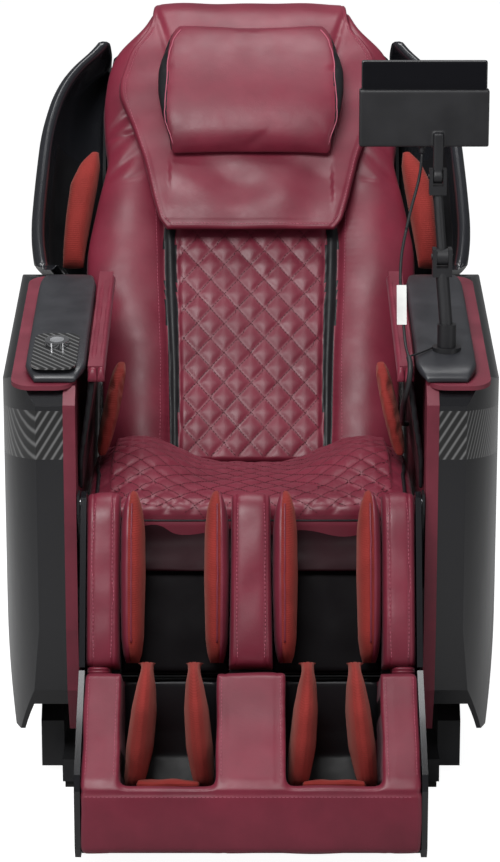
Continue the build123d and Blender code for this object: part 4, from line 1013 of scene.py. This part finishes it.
shape_foot(foot)
paint(foot, lambda x, y, z: 1 if WELL[0] < abs(x) < WELL[1] and y > -690 and z < 250 else 0)
finish_soft(foot, "foot", "leather_red", "foot_cushion", fill=0.9)
FOOT_SLOPE = ((-716, 158), (-690, 181), (-640, 219), (-600, 249), (-565, 275))
foot_rows = [[(x, -741, FOOT_SEAM_Z - 4) for x in range(-262, 266, 12)]]
for seam in (WELL[0] - 9, WELL[1] + 9):
    for side in (-1, 1):
        foot_rows.append([(side * seam, y, z + 8) for y, z in FOOT_SLOPE])
for side in (-1, 1):
    foot_rows.append([(side * 262, y, z + 8) for y, z in FOOT_SLOPE])
stitches("foot_stitches", foot_rows, foot, thread, "foot")

FOOT_BAG_FRONT = [(-640, 108), (-672, 128), (-680, 200), (-656, 262), (-612, 297), (-566, 303), (-540, 290)]
FOOT_BAG_REAR = [(-600, 104), (-560, 106), (-500, 130), (-474, 180), (-478, 220), (-500, 262), (-520, 282)]
foot_bag_half = table([(104, 13), (140, 18), (200, 22), (260, 20), (290, 15), (303, 9)])
foot_bags = []
for side, label in ((1, "left"), (-1, "right")):
    for place_label, low_x, high_x in (("inner", 74, 92), ("outer", 190, 168)):
        def middle(b, low_x=low_x, high_x=high_x):
            return side * (low_x + (high_x - low_x) * (b - 104) / 196)
        leaf = cushion(
            f"foot_airbag_{label}_{place_label}", world, FOOT_BAG_FRONT, FOOT_BAG_REAR,
            lambda a, b: middle(b) - foot_bag_half(b), lambda a, b: middle(b) + foot_bag_half(b),
            [airbag_fabric], rows=60, cols=26, side_power=2.3, end_power=4.0,
            relief=lambda x, along, a, b, s: 1.2 * wave(a, b, 70, 4) + groove(abs(s) - 0.35, 0.06, 1.6),
        )
        recalculate(leaf)
        finish_soft(leaf, "foot", "airbag_fabric", fill=0.75)
        foot_bags.append(leaf)
    sole_edges = sorted((side * 82, side * 182))
    sole = cushion(
        f"foot_sole_{label}", world, [(-688, 136), (-682, 146), (-600, 107), (-520, 70), (-506, 60)],
        [(-686, 133), (-676, 129), (-600, 94), (-520, 57), (-512, 53)],
        lambda a, b, low=sole_edges[0]: low, lambda a, b, high=sole_edges[1]: high, [airbag_fabric],
        rows=40, cols=30, side_power=6.0, end_power=6.0,
        relief=lambda x, along, a, b, s: 3.0 * wave(x, a, 90, 9),
    )
    recalculate(sole)
    finish_soft(sole, "foot", "airbag_fabric", fill=0.6)
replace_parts(foot_bags[0], "foot_airbags")

# Gathered leather between the leg rest and the foot unit.
for side in (-1, 1):
    for k in range(3):
        fold = cushion(
            f"pleat_{'left' if side > 0 else 'right'}_{k}", calf,
            [(-291 + k * 5, 6), (-288 + k * 5, 14), (-283 + k * 5, 14), (-280 + k * 5, 6)],
            [(-291 + k * 5, -60), (-288 + k * 5, -60), (-283 + k * 5, -60), (-280 + k * 5, -60)],
            lambda a, b, s=side: min(s * 268, s * 228), lambda a, b, s=side: max(s * 268, s * 228),
            [red_leather], rows=8, cols=16, side_power=3.0, end_power=3.0,
        )
        recalculate(fold)
        finish_soft(fold, "foot", "leather_red", fill=0.6)

# Leather web that closes the gap between the seat and the leg rest, in burgundy leather darkened as painted
# shade under the seat's front edge.
web = cushion(
    "seat_to_leg_web", world,
    [(-346, 470), (-352, 440), (-366, 425), (-386, 415), (-396, 400)],
    [(-342, 470), (-347, 440), (-361, 422), (-381, 411), (-391, 398)],
    lambda a, b: -208, lambda a, b: 208, [red_leather_painted_shade], rows=40, cols=40, side_power=12.0, end_power=12.0,
    relief=lambda x, along, a, b, s: 2.0 * wave(x, along, 120, 8),
)
recalculate(web)
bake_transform(web)

# ---------------------------------------------------------------- cable
CABLE_UPPER = [
    (282, -240, 1071.4), (280.5, -243, 1052), (277.5, -247, 1032), (272.5, -251, 1012), (266.5, -255, 991),
    (261, -259, 970), (256.5, -263, 949),
]
CABLE_MIDDLE = [
    (256.5, -263, 949), (252, -267, 928), (248.7, -272, 908), (247.1, -278, 889), (246.5, -284, 870),
    (247.4, -290, 850), (249, -298, 830),
]
CABLE_LOWER = [
    (249, -298, 830), (250.6, -306, 810), (252.5, -314, 790), (254, -322, 772), (256.5, -333, 759),
    (259, -345, 752),
]
CABLE_POST = [
    (299, -299, 756.5), (290, -308, 755), (280, -319, 753.4), (270, -330, 752.4), (261.5, -339, 752.8),
]
SLEEVE = [
    (259, -345, 752), (261, -354.6, 746.4), (261, -364, 735), (259, -368, 715), (255, -363, 694),
    (251.5, -350, 676), (251, -322, 656), (253, -286, 638), (254.5, -250, 622), (256, -214, 608),
    (259, -180, 596), (263, -148, 586), (269, -120, 579),
]


def cord_line(points):
    """Points, in metres, along the smooth NURBS curve of a cord's route."""
    curve = bpy.data.curves.new("route", "CURVE")
    curve.dimensions = "3D"
    spline = curve.splines.new("NURBS")
    spline.points.add(len(points) - 1)
    for control, point in zip(spline.points, points):
        control.co = (*[c * MM for c in point], 1)
    spline.order_u = 3
    spline.use_endpoint_u = True
    spline.resolution_u = 8
    route = bpy.data.objects.new("route", curve)
    mesh = bpy.data.meshes.new_from_object(route)
    line = [v.co.copy() for v in mesh.vertices]
    bpy.data.objects.remove(route)
    return line


def cord(name, node, points, diameter, ends):
    """A cord's tube. It rides on one body, or stays fixed in place when it runs between two."""
    line = cord_line(points)
    obj = join_meshes(name, [tube_mesh(line, diameter / 2 * MM, 12)], plastic_black)
    if len(ends) == 2:
        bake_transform(obj)
    else:
        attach(obj, ends[0])
    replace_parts(obj, node)
    return line


cord("cable_upper_look", "cable_upper", CABLE_UPPER, 5.0, ("tablet_head", "arm_link"))
cord("cable_middle_look", "cable_middle", CABLE_MIDDLE, 5.0, ("arm_link", "arm_post"))
cord("cable_lower_look", "cable_lower", CABLE_LOWER, 5.0, ("arm_post", "seat"))
cord("cable_post_look", "cable_post", CABLE_POST, 3.2, ("seat",))
cord("cable_sleeve_look", "cable_sleeve", SLEEVE, 9.0, ("seat",))

# ---------------------------------------------------------------- stage and light
FLOOR_REACH = 60.0
CAMERA_WHITE = 0.95
AMBIENT = 0.15


def camera_only(tree, low, high):
    """A value that is low in reflected light and high where the camera looks straight at it."""
    seen = tree.nodes.new("ShaderNodeLightPath")
    value = tree.nodes.new("ShaderNodeMapRange")
    value.inputs["To Min"].default_value = low
    value.inputs["To Max"].default_value = high
    tree.links.new(seen.outputs["Is Camera Ray"], value.inputs["Value"])
    return value.outputs["Result"]


def studio():
    """A white room without walls, so that no view is blocked."""
    world_look = bpy.data.worlds.new("studio")
    bpy.context.scene.world = world_look
    world_look.use_nodes = True
    background = world_look.node_tree.nodes["Background"]
    background.inputs["Color"].default_value = (0.97, 0.98, 1.0, 1)
    strength = camera_only(world_look.node_tree, AMBIENT, 1.0)
    world_look.node_tree.links.new(strength, background.inputs["Strength"])
    floor_mesh = bpy.data.meshes.new("floor")
    corners = [(-1, -1), (1, -1), (1, 1), (-1, 1)]
    floor_mesh.from_pydata([(x * FLOOR_REACH, y * FLOOR_REACH, 0) for x, y in corners], [], [(0, 1, 2, 3)])
    floor = bpy.data.objects.new("floor", floor_mesh)
    floor_look, tree, shader = new_material("floor_look", grey(0.45), 0.6, specular=0.1)
    shader.inputs["Emission Color"].default_value = (1, 1, 1, 1)
    tree.links.new(camera_only(tree, 0.0, CAMERA_WHITE), shader.inputs["Emission Strength"])
    floor_mesh.materials.append(floor_look)
    bpy.context.scene.collection.objects.link(floor)


def area_light(name, place, target, size, power, colour=(1, 1, 1)):
    data = bpy.data.lights.new(name, "AREA")
    data.shape = "RECTANGLE"
    data.size, data.size_y = size
    data.energy = power
    data.color = colour
    light = bpy.data.objects.new(name, data)
    light.location = place
    light.rotation_euler = (Vector(place) - Vector(target)).to_track_quat("Z", "Y").to_euler()
    bpy.context.scene.collection.objects.link(light)


studio()
MIDDLE = (0, 0, 0.6)
area_light("key", (-0.7, -2.4, 3.1), MIDDLE, (1.6, 1.2), 88)
area_light("fill_left", (-2.6, -2.2, 1.2), MIDDLE, (0.4, 1.8), 12)
area_light("fill_right", (2.6, -2.2, 1.2), MIDDLE, (0.4, 1.8), 12)
area_light("top", (0, 0.5, 3.4), MIDDLE, (1.6, 1.6), 46)
bpy.context.scene.view_settings.view_transform = "Standard"
